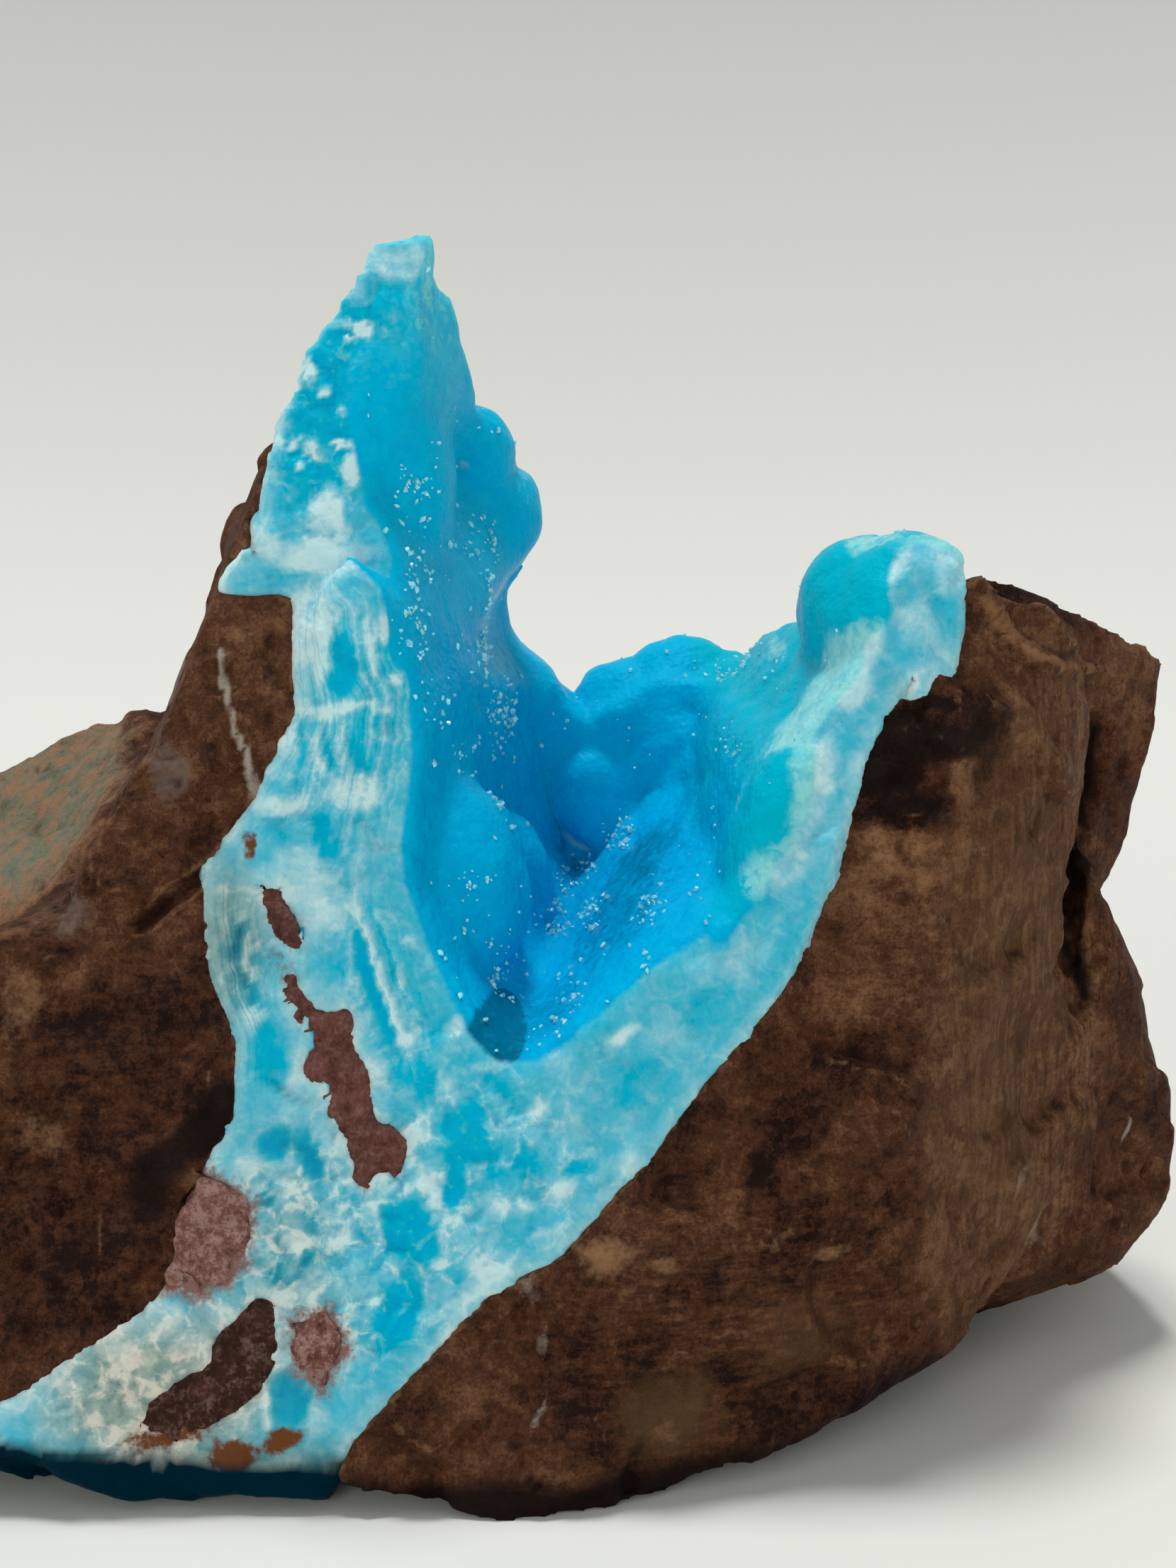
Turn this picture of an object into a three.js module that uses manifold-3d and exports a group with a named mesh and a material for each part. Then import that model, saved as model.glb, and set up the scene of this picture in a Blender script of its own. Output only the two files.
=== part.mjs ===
// A hand specimen of blue hemimorphite: a banded crust that fills the gap between two blocks of brown
// wall rock, opens upwards into a V-shaped hollow lined with rounded lobes, and climbs the left block
// as a tall fin. Broken bits of the wall rock are frozen into the crust. Millimetres, +Z up. The x axis
// runs to the right along the broken front face and y runs away from it, towards the rear.
import * as THREE from "three";
import { ConvexGeometry } from "three/addons/geometries/ConvexGeometry.js";
import { ImprovedNoise } from "three/addons/math/ImprovedNoise.js";
import { TessellateModifier } from "three/addons/modifiers/TessellateModifier.js";
import { mergeVertices } from "three/addons/utils/BufferGeometryUtils.js";
import Module from "manifold-3d";

const wasm = await Module();
wasm.setup();

// ---- Driving dimensions -------------------------------------------------------------------------

const GAP = 0.3; // between pieces that touch
const FRONT_FOOT = -24; // y of the broken front face at the height of the floor
const FRONT_LEAN = 24 / 74; // how far the front face leans back for each millimetre of height
const REAR_FOOT = 37; // y of the crust's rear end at the height of the floor
const FOOT_DROP = 5; // how far the crust's foot comes down behind the front edge, to reach the floor
const RIM_HEIGHT = 45; // height of the wall that closes the hollow at the rear
const REAR_LEAN = 0.4; // lean of the crust's rear end below the rim
const TOP_LEAN = { left: 0.55, right: 3.2 }; // lean of each leg's rear edge above the rim
const HOLLOW_REAR = 15; // y of the hollow's rear wall
const HOLLOW_RISE = 5; // how much higher the hollow's floor is at its rear wall
const HOLLOW_BOTTOM = 24.8; // height of the hollow's lowest point, at the front
const HOLLOW_TOP = 56; // height above which the hollow no longer changes from front to rear
const FOOT_BAND = [3, 14]; // heights between which the drop of the crust's foot fades out
const FOOT_SHARE = 0.25; // share of the way back by which the foot has come down
const CRUST_STEPS = 4; // steps from the front of the crust to its rear, the first in front of the face
const CLAST_STEPS = 2;
const BITE = 8; // how far a solid reaches past the broken face before it is trimmed
const HOLLOW_BITE = 32; // how far the hollow's cutter does, which is past everything in front of it
const FACE = { width: 120, depth: 90, height: 100, cell: 8 }; // the block behind the broken face
const FAR = 200; // size of the block that trims the foot

// Unevenness of each surface: the longest edge that is shaken, then swing and wavelength of each term.
const FACE_SHAKE = [[0.9, 9], [0.4, 4]];
const CRUST = { edge: 12, shake: [[0.8, 9], [0.35, 3.5]], colour: 0x0fa3c8, roughness: 0.35 };
const LEFT_ROCK = { edge: 12, shake: [[1.3, 14], [0.7, 5.5]], colour: 0x5c4638, roughness: 0.9 };
const RIGHT_ROCK = { ...LEFT_ROCK, colour: 0x5a3e2b, roughness: 0.85 };
const CLAST = { edge: 3, shake: [[0.4, 2]], roughness: 0.85 };
const NOISE_STARTS = [11.3, 47.7, 83.1]; // where in the noise the shake along x, y and z begins
const DIVISIONS = 12; // most rounds in which long edges are divided
const WELD = 1e-3; // points closer than this are one
const BALL = { around: 8, upwards: 5 }; // faces of a rounded growth

// The crust's outline on the front face, as [x, z].
const CONTACT_LEFT = [
  [-38, 4.9],
  [-34.8, 5.8],
  [-30.2, 8.5],
  [-26.1, 11.7],
  [-24.5, 17.6],
  [-21.2, 22],
  [-21.2, 26.5],
  [-22.8, 31],
  [-23.2, 36.6],
  [-20.3, 40.6],
  [-17.6, 45.4],
  [-17.8, 52.2],
];
const FIN_AND_RIM = [
  [-20, 54.6],
  [-20.6, 57.8],
  [-19.4, 63],
  [-17.7, 67],
  [-14.2, 71.2],
  [-13.4, 74],
  [-11, 73.8],
  [-10.8, 68],
  [-8.4, 62.4],
  [-6.4, 56.8],
  [-6.6, 49.4],
  [-5, 42.4],
  [-0.4, 40.5],
  [6, 43.5],
  [12.6, 42.8],
  [15.4, 46.4],
  [20.6, 51.6],
];
const CONTACT_RIGHT = [
  [23.8, 52.5],
  [21.6, 48.9],
  [17.6, 45.6],
  [16.1, 42.3],
  [14.8, 35.7],
  [12.4, 30.9],
  [4.3, 20.8],
  [-1.2, 15.2],
  [-6.3, 11.7],
  [-10.9, 7.3],
  [-15.3, 2.7],
];
const CRUST_FOOT = [
  [-26.8, 2.5],
  [-32, 3.8],
];
const CONTACT_SHIFT = { left: 9.5, right: 5 }; // how far each contact moves inwards by the rear end

// The hollow's outline on the front face, as [x, z].
const HOLLOW = [
  [-10, 90],
  [-10, 68.1],
  [-11.7, 62.7],
  [-14.1, 58.5],
  [-12.3, 55.5],
  [-10.8, 50.1],
  [-10.8, 44],
  [-11.4, 36],
  [-10, 31.4],
  [-7.2, 26.8],
  [-4.3, 24.8],
  [-1.3, 26.8],
  [3, 30.5],
  [9, 33.7],
  [10.7, 40.6],
  [13.8, 45.6],
  [15.5, 49],
  [19, 56],
  [22, 90],
];
const HOLLOW_SIDES = [-10.8, 15.5]; // x of the hollow's left and right walls, high up
const HOLLOW_SHIFT = { left: 7, right: 4 }; // how far each wall moves inwards by the rear wall

// Rounded growths on the crust, as [x, y, z, radius along x, radius along y, radius along z].
const LOBES = [
  [-8.3, -3, 32.4, 4.2, 5.5, 8.2], // long smooth pad low on the left wall
  [-4.6, 5, 30.5, 2.4, 3.6, 6], // rib at the foot of the left wall
  [-11, 0.5, 46, 3.2, 5, 9], // swelling up the left wall
  [-11.4, 3, 59, 3.2, 5, 7], // swelling on the inside of the fin
  [-8, 11.5, 59.5, 3, 3.4, 3.4],
  [-7.2, 14, 54.4, 4.2, 4, 4.4],
  [-7.4, 14.5, 48.5, 3.2, 4, 5],
  [-6.4, 16.5, 43, 3.8, 3.6, 3.8],
  [2.6, 19.5, 40.8, 3.4, 3.2, 3],
  [6.4, 19.8, 42.3, 3.6, 3, 3.4],
  [10, 18, 41.4, 2.8, 3, 3.4],
  [12.6, 15.5, 42.6, 2.8, 3, 3.2],
  [6.6, 17, 37.6, 5, 4, 4.6],
  [0.6, 17, 35, 4.6, 4, 4.6],
  [9.4, 14, 35.6, 4, 4, 4.2],
  [20.4, -2.6, 50.4, 4.8, 5.6, 5.8], // knob on top of the right wall
  [18, 1, 49.9, 4.4, 5.4, 5.6],
  [17.4, 6, 46, 4, 5, 4.6],
  [16.6, 7.5, 44, 4.4, 5, 4.6],
  [15, 1, 40, 4.4, 6, 4.6],
  [12.6, -3, 35, 3.8, 5, 4.2],
  [-20, -6.6, 53.7, 3.2, 2.6, 1.4], // tongue over the top of the left rock
  [5, 4, 28, 4.6, 5.5, 3.4], // sill between the hollow's two deepest places
  [9.4, 4, 31.6, 3.8, 5, 3.6],
  [0.8, -2, 25.4, 3.4, 4, 3],
];

// Growths that stand proud of the broken face, in the same form.
const PROUD_LOBES = [[-14.2, -8.2, 47.6, 3.2, 1.9, 8.2]]; // domed top of the banded column

// Corners of the two wall rocks, as [x, y, z], one list for each convex lump.
const LEFT_LUMPS = [
  [
    [-17.4, 0.5, 66.4],
    [-12, 8, 62],
    [-8, 18, 50],
    [-22.2, -9, 52.8],
    [-15, -10, 52.4],
    [-29.8, -14, 37.6],
    [-33, -16, 30],
    [-33, 9, 30],
    [-25, 16, 41],
    [-6, 22, 40],
    [-34, -18, 20],
    [-34, 14, 20],
    [-8, -16, 20],
    [-6, 20, 20],
  ],
  [
    [-35.4, -16, 32.6],
    [-45, -18.5, 24],
    [-50.5, -20, 15],
    [-51.6, -21, 7],
    [-47, -24, 4.6],
    [-18, -24, 7],
    [-44, -12, -1],
    [-12, -8, -1],
    [-6, 24, -1],
    [-42, 20, -1],
    [-50, 14, 9],
    [-34.5, 9, 31],
    [-30, -15, 34],
    [-20, -15, 34],
    [-20, 10, 33],
    [-10, 20, 22],
  ],
  [
    [-33, 29, 38.6],
    [-39.5, 34, 35.4],
    [-47, 34, 32],
    [-52, 27, 25],
    [-52.5, 30, 10],
    [-49, 37, 5],
    [-40, 40, 8],
    [-14, 40, 12],
    [-16, 38, 26],
    [-24, 34, 36],
    [-13, 29, 37.5],
    [-30, 10, 36],
    [-46, 8, 22],
    [-48, 10, 8],
    [-10, 30, -1],
    [-38, 32, -1],
    [-8, 26, 36],
  ],
];
const RIGHT_LUMPS = [
  [
    [24.4, -5.4, 54],
    [28.5, -2, 48.8],
    [32.4, 1, 46.6],
    [32.4, 1.4, 41],
    [31.2, -1, 24],
    [30.6, -1.4, 14],
    [27, -3, 5.8],
    [17.4, -12.4, 34.4],
    [19.4, -14.4, 25],
    [20.6, -13.6, 15.7],
    [19.4, -13, 5],
    [23, -9, 4],
    [14, -16.6, 2],
    [7.4, -20.4, 0.6],
    [1.6, -22.6, -1],
    [-4, -23.4, 1.6],
    [-15.4, -25, 2.4],
    [0, -12, 24],
    [12, -4, 44],
    [20, 12, 48],
    [22, 10, -1],
    [-14, -14, -1],
    [-12, 22, -1],
    [18, 20, -1],
  ],
  [
    [25.4, 3, 52.8],
    [31, 8, 49.8],
    [34, 9.5, 47.6],
    [40, 13.6, 45.6],
    [38.8, 12.6, 40.4],
    [35.6, 11, 30],
    [33, 9, 28],
    [31, 4, 46],
    [30, 5, 30],
    [38, 24, 40],
    [34, 28, 28],
    [8, 26, 36],
    [8, 22, 40],
    [18, 14, 47],
    [4, 30, 20],
  ],
  [
    [31.4, 2, 38],
    [34.4, 9.6, 30.4],
    [36.4, 8.4, 22],
    [38.8, 7.4, 18.2],
    [40.4, 7, 13.1],
    [40.3, 7, 9],
    [38, 6, 6.6],
    [36.6, 5, 4.8],
    [27.5, -2.2, 6],
    [30.6, -1.6, 22],
    [38, 18, 6],
    [34, 30, 8],
    [32, 32, 20],
    [30, 30, 30],
    [2, 36, 16],
    [0, 37, 6],
    [24, 24, -1],
    [2, 32, -1],
    [-4, 20, -1],
    [16, 4, -1],
  ],
];
// The narrow cleft between the right rock's two slabs, as corners [x, y, z].
const CLEFT = [
  [33, 0.4, 42],
  [34.4, 1.4, 42],
  [32.2, -1.4, 26],
  [33.2, -1, 26],
  [30.6, 7, 40],
  [30.4, 6, 28],
];

// Bits of rock frozen into the crust, outlined on the front face as [x, z], with their depth.
const CLASTS = {
  small_clast: {
    depth: 3,
    colour: 0x5a4136,
    outline: [
      [-19.7, 35.4],
      [-18.6, 35.2],
      [-17.2, 32.6],
      [-17.9, 32.2],
      [-19.4, 33.8],
    ],
  },
  seam_clast: {
    depth: 5,
    colour: 0x4b3a36,
    outline: [
      [-18, 30.8],
      [-16.6, 28.6],
      [-14.6, 28.2],
      [-13.2, 25],
      [-12.8, 22.6],
      [-11.2, 21],
      [-10.9, 19.2],
      [-13.4, 18.2],
      [-14, 20.4],
      [-15.4, 23],
      [-17, 25.2],
      [-16.8, 27],
      [-18.4, 29.6],
    ],
  },
  pink_clast: {
    depth: 4,
    colour: 0x88675a,
    outline: [
      [-23.4, 19.6],
      [-20.6, 17.6],
      [-20.4, 14.6],
      [-23, 12.4],
      [-25, 13.2],
      [-24.4, 16.6],
    ],
  },
  rosy_clast: {
    depth: 3.5,
    colour: 0x7c5b51,
    outline: [
      [-17.6, 10.8],
      [-15.6, 11.6],
      [-14.6, 9.8],
      [-15.6, 7.6],
      [-17.2, 8.6],
    ],
  },
  lens_clast: {
    depth: 6,
    colour: 0x41261c,
    outline: [
      [-19.8, 12.2],
      [-18.8, 11.8],
      [-18.6, 8.4],
      [-20.8, 6],
      [-24.4, 4.6],
      [-27, 4.9],
      [-26.2, 6.4],
      [-22.6, 8.6],
      [-21.6, 10.6],
    ],
  },
};

// ---- Ways of making and joining solids -----------------------------------------------------------

const noise = new ImprovedNoise();

// A three.js geometry as a manifold solid, with its shared vertices merged.
function solid(geometry) {
  const bare = geometry.clone();
  bare.deleteAttribute("normal");
  bare.deleteAttribute("uv");
  const merged = mergeVertices(bare, WELD);
  return new wasm.Manifold(
    new wasm.Mesh({
      numProp: 3,
      vertProperties: new Float32Array(merged.attributes.position.array),
      triVerts: new Uint32Array(merged.index.array),
    }),
  );
}

// A manifold solid as an indexed three.js geometry.
function geometryOf(body) {
  const mesh = body.getMesh();
  const geometry = new THREE.BufferGeometry();
  geometry.setAttribute("position", new THREE.BufferAttribute(mesh.vertProperties, 3));
  geometry.setIndex(new THREE.BufferAttribute(mesh.triVerts, 1));
  return geometry;
}

// Moves each vertex of a geometry by a function of its place, which returns the new [x, y, z].
function moved(geometry, place) {
  const points = geometry.attributes.position;
  for (let i = 0; i < points.count; i++)
    points.setXYZ(i, ...place(points.getX(i), points.getY(i), points.getZ(i)));
  return geometry;
}

const hull = (corners) => solid(new ConvexGeometry(corners.map((c) => new THREE.Vector3(...c))));

// The y of the front face at a height.
const frontAt = (z) => FRONT_FOOT + FRONT_LEAN * z;

// A solid with an [x, z] outline at the front, carried back in steps. bend(x, z, t) gives the place
// [x, y, z] of an outline point at the share t of the way to the rear.
function carriedBack(outline, steps, bend) {
  const shape = new THREE.Shape(outline.map(([x, z]) => new THREE.Vector2(x, z)));
  const geometry = new THREE.ExtrudeGeometry(shape, { depth: 1, steps, bevelEnabled: false });
  return solid(moved(geometry, (x, z, s) => bend(x, z, 1 - s)));
}

function ellipsoid([x, y, z, rx, ry, rz]) {
  const ball = new THREE.SphereGeometry(1, BALL.around, BALL.upwards);
  ball.scale(rx, ry, rz);
  ball.translate(x, y, z);
  return solid(ball);
}

// Shakes a geometry by smooth noise: each term of [swing, wavelength] moves a point by up to about
// swing.
function shaken(geometry, terms) {
  const shake = (x, y, z, start) =>
    terms.reduce(
      (sum, [swing, wave]) => sum + swing * noise.noise(x / wave + start, y / wave - start, z / wave),
      0,
    );
  return moved(geometry, (x, y, z) => {
    const [dx, dy, dz] = NOISE_STARTS.map((start) => shake(x, y, z, start));
    return [x + dx, y + dy, z + dz];
  });
}

// A solid whose faces are divided down to a longest edge and then shaken.
function roughened(body, { edge, shake }) {
  const fine = new TessellateModifier(edge, DIVISIONS).modify(geometryOf(body).toNonIndexed());
  return solid(shaken(fine, shake));
}

// The block behind the one broken face that runs across crust and rocks.
function brokenBlock() {
  const { width, depth, height, cell } = FACE;
  const block = new THREE.BoxGeometry(width, depth, height, width / cell, 1, Math.round(height / cell));
  block.translate(0, depth / 2, height / 2 - BITE);
  return solid(shaken(moved(block, (x, y, z) => [x, y + frontAt(z), z]), FACE_SHAKE));
}

// A solid grown outwards all over by a small distance.
function grown(body, by) {
  const geometry = geometryOf(body);
  geometry.computeVertexNormals();
  const { position, normal } = geometry.attributes;
  for (let i = 0; i < position.count; i++)
    position.setXYZ(
      i,
      position.getX(i) + by * normal.getX(i),
      position.getY(i) + by * normal.getY(i),
      position.getZ(i) + by * normal.getZ(i),
    );
  return solid(geometry);
}

const joined = (bodies) => bodies.reduce((sum, body) => sum.add(body));

// The largest of the pieces that a cut leaves.
const largest = (body) =>
  body.decompose().reduce((best, piece) => (piece.volume() > best.volume() ? piece : best));

// A solid with room cut into it for each of its neighbours.
const cutBack = (body, neighbours) =>
  neighbours.reduce((rest, other) => rest.subtract(grown(other, GAP)).subtract(other), body);

// Cuts a solid off flat where it stands on the surface.
function stood(body) {
  const below = new THREE.BoxGeometry(FAR, FAR, FAR);
  below.translate(0, 0, -FAR / 2);
  return largest(body.subtract(solid(below)));
}

// ---- The pieces ----------------------------------------------------------------------------------

// The share of the way from one end to the other of a range, kept within 0 and 1.
const share = (value, from, to) => THREE.MathUtils.clamp((value - from) / (to - from), 0, 1);

// The x of a contact line at a height, between the two points that enclose it.
function contactAt(line, z) {
  const points = [...line].sort((a, b) => a[1] - b[1]);
  const next = Math.max(1, points.findIndex((p) => p[1] >= z));
  const [low, high] = z > points.at(-1)[1] ? points.slice(-2) : [points[next - 1], points[next]];
  return THREE.MathUtils.lerp(low[0], high[0], share(z, low[1], high[1]));
}

// Where a point of the crust's outline lies at the share t of the way back.
function crustPlace(x, z, t) {
  if (t < 0) return [x, frontAt(z) + t * BITE, z];
  const across = share(x, contactAt(CONTACT_LEFT, z), contactAt(CONTACT_RIGHT, z));
  const inwards = CONTACT_SHIFT.left * (1 - across) ** 3 - CONTACT_SHIFT.right * across ** 3;
  const overRim = Math.max(0, z - RIM_HEIGHT);
  const topLean = THREE.MathUtils.lerp(TOP_LEAN.left, TOP_LEAN.right, across ** 4);
  const rear = REAR_FOOT - REAR_LEAN * (z - overRim) - topLean * overRim;
  const drop = FOOT_DROP * share(t, 0, FOOT_SHARE) * (1 - share(z, ...FOOT_BAND));
  return [x + t * inwards, THREE.MathUtils.lerp(frontAt(z), rear, t), z - drop];
}

// Where a point of the hollow's outline lies at the share t of the way back, t below 0 being in
// front of the broken face.
function hollowPlace(x, z, t) {
  const across = share(x, ...HOLLOW_SIDES);
  const inwards = HOLLOW_SHIFT.left * (1 - across) ** 2 - HOLLOW_SHIFT.right * across ** 2;
  const rise = HOLLOW_RISE * (1 - share(z, HOLLOW_BOTTOM, HOLLOW_TOP));
  const deep = Math.max(0, t);
  const y = t < 0 ? frontAt(z) + t * HOLLOW_BITE : THREE.MathUtils.lerp(frontAt(z), HOLLOW_REAR, t);
  return [x + deep * inwards, y, z + deep * rise];
}

// The crust before the face is broken, so it still reaches out in front of it. One step of the
// outline is in front of the face and the others are behind it.
function hemimorphiteCrust() {
  const outline = [...CONTACT_LEFT, ...FIN_AND_RIM, ...CONTACT_RIGHT, ...CRUST_FOOT];
  const fromFace = (t) => (t * CRUST_STEPS - 1) / (CRUST_STEPS - 1);
  const body = carriedBack(outline, CRUST_STEPS, (x, z, t) => crustPlace(x, z, fromFace(t)));
  const hollow = carriedBack(HOLLOW, CRUST_STEPS, (x, z, t) => hollowPlace(x, z, fromFace(t)));
  const lobed = joined([body.subtract(hollow), ...LOBES.map(ellipsoid)]);
  return roughened(lobed, CRUST);
}

// A wall rock, cut back by the pieces that it touches.
function wallRock(lumps, form, neighbours) {
  return cutBack(roughened(joined(lumps.map(hull)), form), neighbours);
}

function clast({ outline, depth }) {
  const block = carriedBack(outline, CLAST_STEPS, (x, z, t) => [x, frontAt(z) + t * depth, z]);
  return roughened(block, CLAST);
}

function piece(name, body, { colour, roughness }) {
  const geometry = geometryOf(body);
  geometry.computeVertexNormals();
  const material = new THREE.MeshStandardMaterial({ color: colour, roughness, metalness: 0 });
  const mesh = new THREE.Mesh(geometry, material);
  mesh.name = name;
  return mesh;
}

function specimen() {
  const face = brokenBlock();
  const finished = (body) => stood(body.intersect(face));
  const whole = hemimorphiteCrust();
  const bits = Object.entries(CLASTS).map(([name, form]) => ({ name, form, body: clast(form) }));
  const clasts = bits.map((bit) => bit.body);
  const leftRock = wallRock(LEFT_LUMPS, LEFT_ROCK, [whole, ...clasts]);
  const rightRock = wallRock(RIGHT_LUMPS, RIGHT_ROCK, [whole, leftRock]).subtract(hull(CLEFT));
  const crust = joined([finished(cutBack(whole, clasts)), ...PROUD_LOBES.map(ellipsoid)]);
  const group = new THREE.Group();
  group.add(piece("hemimorphite_crust", crust, CRUST));
  group.add(piece("left_wall_rock", finished(leftRock), LEFT_ROCK));
  group.add(piece("right_wall_rock", finished(rightRock), RIGHT_ROCK));
  for (const { name, form, body } of bits)
    group.add(piece(name, finished(body), { ...CLAST, colour: form.colour }));
  return group;
}

// The origin is at the middle of the specimen's footprint, on the surface that it stands on.
const group = specimen();
const box = new THREE.Box3().setFromObject(group);
const middle = box.getCenter(new THREE.Vector3());
group.position.set(-middle.x, -middle.y, -box.min.z);

export default group;
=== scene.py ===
"""A hemimorphite hand specimen: its fine surfaces, crystals and finishes, built around its frame.

Each piece is a closely divided copy of its solid, smoothed, roughened and marked in code. The row frame
has +X to the right along the broken front face, +Y towards the rear and +Z up. Lengths in this file are
in millimetres, and meshes are in metres.
"""

import itertools
import math

import bmesh
import bpy
import numpy as np
from bpy.props import FloatProperty, FloatVectorProperty, IntProperty, PointerProperty
from mathutils import Matrix, Vector
from mathutils.bvhtree import BVHTree
from mathutils.kdtree import KDTree


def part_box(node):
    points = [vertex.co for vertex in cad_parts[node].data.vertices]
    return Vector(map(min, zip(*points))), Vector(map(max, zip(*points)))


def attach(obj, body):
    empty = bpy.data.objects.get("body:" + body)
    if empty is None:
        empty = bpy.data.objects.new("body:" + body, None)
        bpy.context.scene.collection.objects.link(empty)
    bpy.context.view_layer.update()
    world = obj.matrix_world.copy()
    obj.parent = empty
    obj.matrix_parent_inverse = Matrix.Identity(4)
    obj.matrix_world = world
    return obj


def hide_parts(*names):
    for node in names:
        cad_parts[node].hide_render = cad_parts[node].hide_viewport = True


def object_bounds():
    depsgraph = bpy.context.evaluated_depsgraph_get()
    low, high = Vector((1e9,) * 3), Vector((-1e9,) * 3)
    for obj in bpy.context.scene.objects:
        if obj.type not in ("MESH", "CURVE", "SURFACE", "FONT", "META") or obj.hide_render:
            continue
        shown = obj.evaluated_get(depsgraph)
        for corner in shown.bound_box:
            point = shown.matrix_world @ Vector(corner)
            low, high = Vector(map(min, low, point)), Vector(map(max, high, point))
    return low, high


bl_info = {
    "name": "Hemimorphite specimen",
    "version": (1, 0, 0),
    "blender": (4, 5, 0),
    "location": "View3D > Sidebar > Specimen",
    "description": "Builds the fine surfaces, crystals and finishes of a hemimorphite hand specimen",
    "category": "Object",
}

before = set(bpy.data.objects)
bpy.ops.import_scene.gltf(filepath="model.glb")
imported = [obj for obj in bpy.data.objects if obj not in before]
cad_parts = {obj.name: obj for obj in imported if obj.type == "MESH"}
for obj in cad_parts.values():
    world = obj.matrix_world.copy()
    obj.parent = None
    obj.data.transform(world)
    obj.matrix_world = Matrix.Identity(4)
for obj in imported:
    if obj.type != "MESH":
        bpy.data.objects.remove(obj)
CAD_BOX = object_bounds()

MM = 0.001
BODY = "root"

# The broken front face leans back as it rises: its y at the floor, and its lean for each mm of height.
FRONT_FOOT = -32.2
FRONT_LEAN = 24 / 74


def tone(red, green, blue):
    """A colour given as 0 to 255 in display values, as the linear values that Blender takes."""
    return tuple(
        value / 255 / 12.92 if value <= 10 else ((value / 255 + 0.055) / 1.055) ** 2.4
        for value in (red, green, blue)
    )


# ---- Fields over points ------------------------------------------------------------------------------


CHANCES = np.random.default_rng(11).random((4, 65536))


def cell_codes(cells, seed):
    """A place in the table of chances for each whole-numbered cell."""
    x, y, z = cells.T.astype(np.int64)
    mixed = x * 73856093 ^ y * 19349663 ^ z * 83492791 ^ seed * 26544357
    return (mixed ^ (mixed >> 15)) & 0xFFFF


def swell(points, size, seed):
    """Smooth noise from -1 to 1, whose swells are about size across."""
    place = points / size
    low = np.floor(place)
    part = place - low
    part = part * part * (3 - 2 * part)
    total = np.zeros(len(points))
    for corner in itertools.product((0, 1), repeat=3):
        weight = np.where(corner, part, 1 - part).prod(axis=1)
        total += weight * CHANCES[0][cell_codes(low + corner, seed)]
    return total * 2 - 1


def rugged(points, size, seed, octaves=4, fall=0.5):
    """Noise with finer and finer swells, from about -1 to 1."""
    total = sum(fall**k * swell(points, size / 2**k, seed + k) for k in range(octaves))
    return total / sum(fall**k for k in range(octaves))


def stirred(points, size, amount, seed):
    """The points moved about by smooth noise, so that what is drawn on them wavers."""
    return points + amount * np.stack([swell(points, size, seed + axis) for axis in range(3)], axis=1)


def around(points, size, seed):
    """For each of the 27 cells round each point: the way from its centre, in sizes, and its random number."""
    place = points / size
    low = np.floor(place)
    for step in itertools.product((-1, 0, 1), repeat=3):
        cell = low + step
        codes = cell_codes(cell, seed)
        yield place - cell - CHANCES[:3, codes].T, CHANCES[3][codes]


def nearest(points, size, seed):
    """The distance to the nearest of scattered centres, in sizes."""
    return np.sqrt(np.min([(away * away).sum(axis=1) for away, _ in around(points, size, seed)], axis=0))


def chips(points, size, seed, tilt, sharp=24.0):
    """Heights of a surface broken into chips about size across, each tilted its own way, with worn edges."""
    total = np.zeros(len(points))
    weights = total + 1e-9
    for away, tag in around(points, size, seed):
        turn = tag * 2 * math.pi
        lean = np.stack([np.cos(turn), np.sin(turn * 3), np.sin(turn + 1)], axis=1)
        weight = np.exp(-sharp * (away * away).sum(axis=1))
        total += weight * ((away * lean).sum(axis=1) + tag - 0.5)
        weights += weight
    return size * tilt * total / weights


def ramp(values, low, high):
    """0 below low, 1 above high and a smooth rise between them. It falls where low is above high."""
    part = np.clip((values - low) / (high - low), 0, 1)
    return part * part * (3 - 2 * part)


# A mark is gone at this many sizes of its oval from its middle.
FADED = 1.25


def laid_over(points, base, marks, reach=3.0, edge=0.7):
    """The base values with marks laid over them in turn, as (x, y, z, half width, half height, turn,
    value). Each is an oval as seen from the front, turned anticlockwise, and reaches past its larger half
    in depth by reach. A mark is whole out to edge, in sizes of its oval, and fades from there."""
    values = np.array(base, float)
    for x, y, z, wide, high, turn, value in marks:
        far = max(wide, high) * (FADED + 0.05)
        close = np.flatnonzero((np.abs(points[:, 0] - x) < far) & (np.abs(points[:, 2] - z) < far))
        right, back, up = (points[close] - (x, y, z)).T
        angle = math.radians(turn)
        across = (right * math.cos(angle) + up * math.sin(angle)) / wide
        along = (up * math.cos(angle) - right * math.sin(angle)) / high
        share = ramp(np.sqrt(across**2 + along**2 + (back / (reach + max(wide, high))) ** 2), FADED, edge)
        values[close] += share * (value - values[close])
    return values


# How much a way across, in depth and up counts in the distance to a line.
DEPTH_COUNTS = (1, 0.06, 1)


def line_near(points, path, wide):
    """1 on a path of (x, y, z) places as seen from the front, falling to 0 at wide from it."""
    best = np.full(len(points), 1e9)
    for start, end in itertools.pairwise(np.array(path, float)):
        way = end - start
        along = np.clip((points - start) @ way / (way @ way), 0, 1)
        apart = (points - start - along[:, None] * way) * DEPTH_COUNTS
        best = np.minimum(best, np.linalg.norm(apart, axis=1))
    return ramp(best, wide, wide * 0.3)


def behind_face(points):
    """How far each point is behind the broken front face."""
    slope = math.cos(math.atan(FRONT_LEAN))
    return (points[:, 1] - FRONT_FOOT - FRONT_LEAN * points[:, 2]) * slope


# ---- Meshes ------------------------------------------------------------------------------------------


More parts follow.
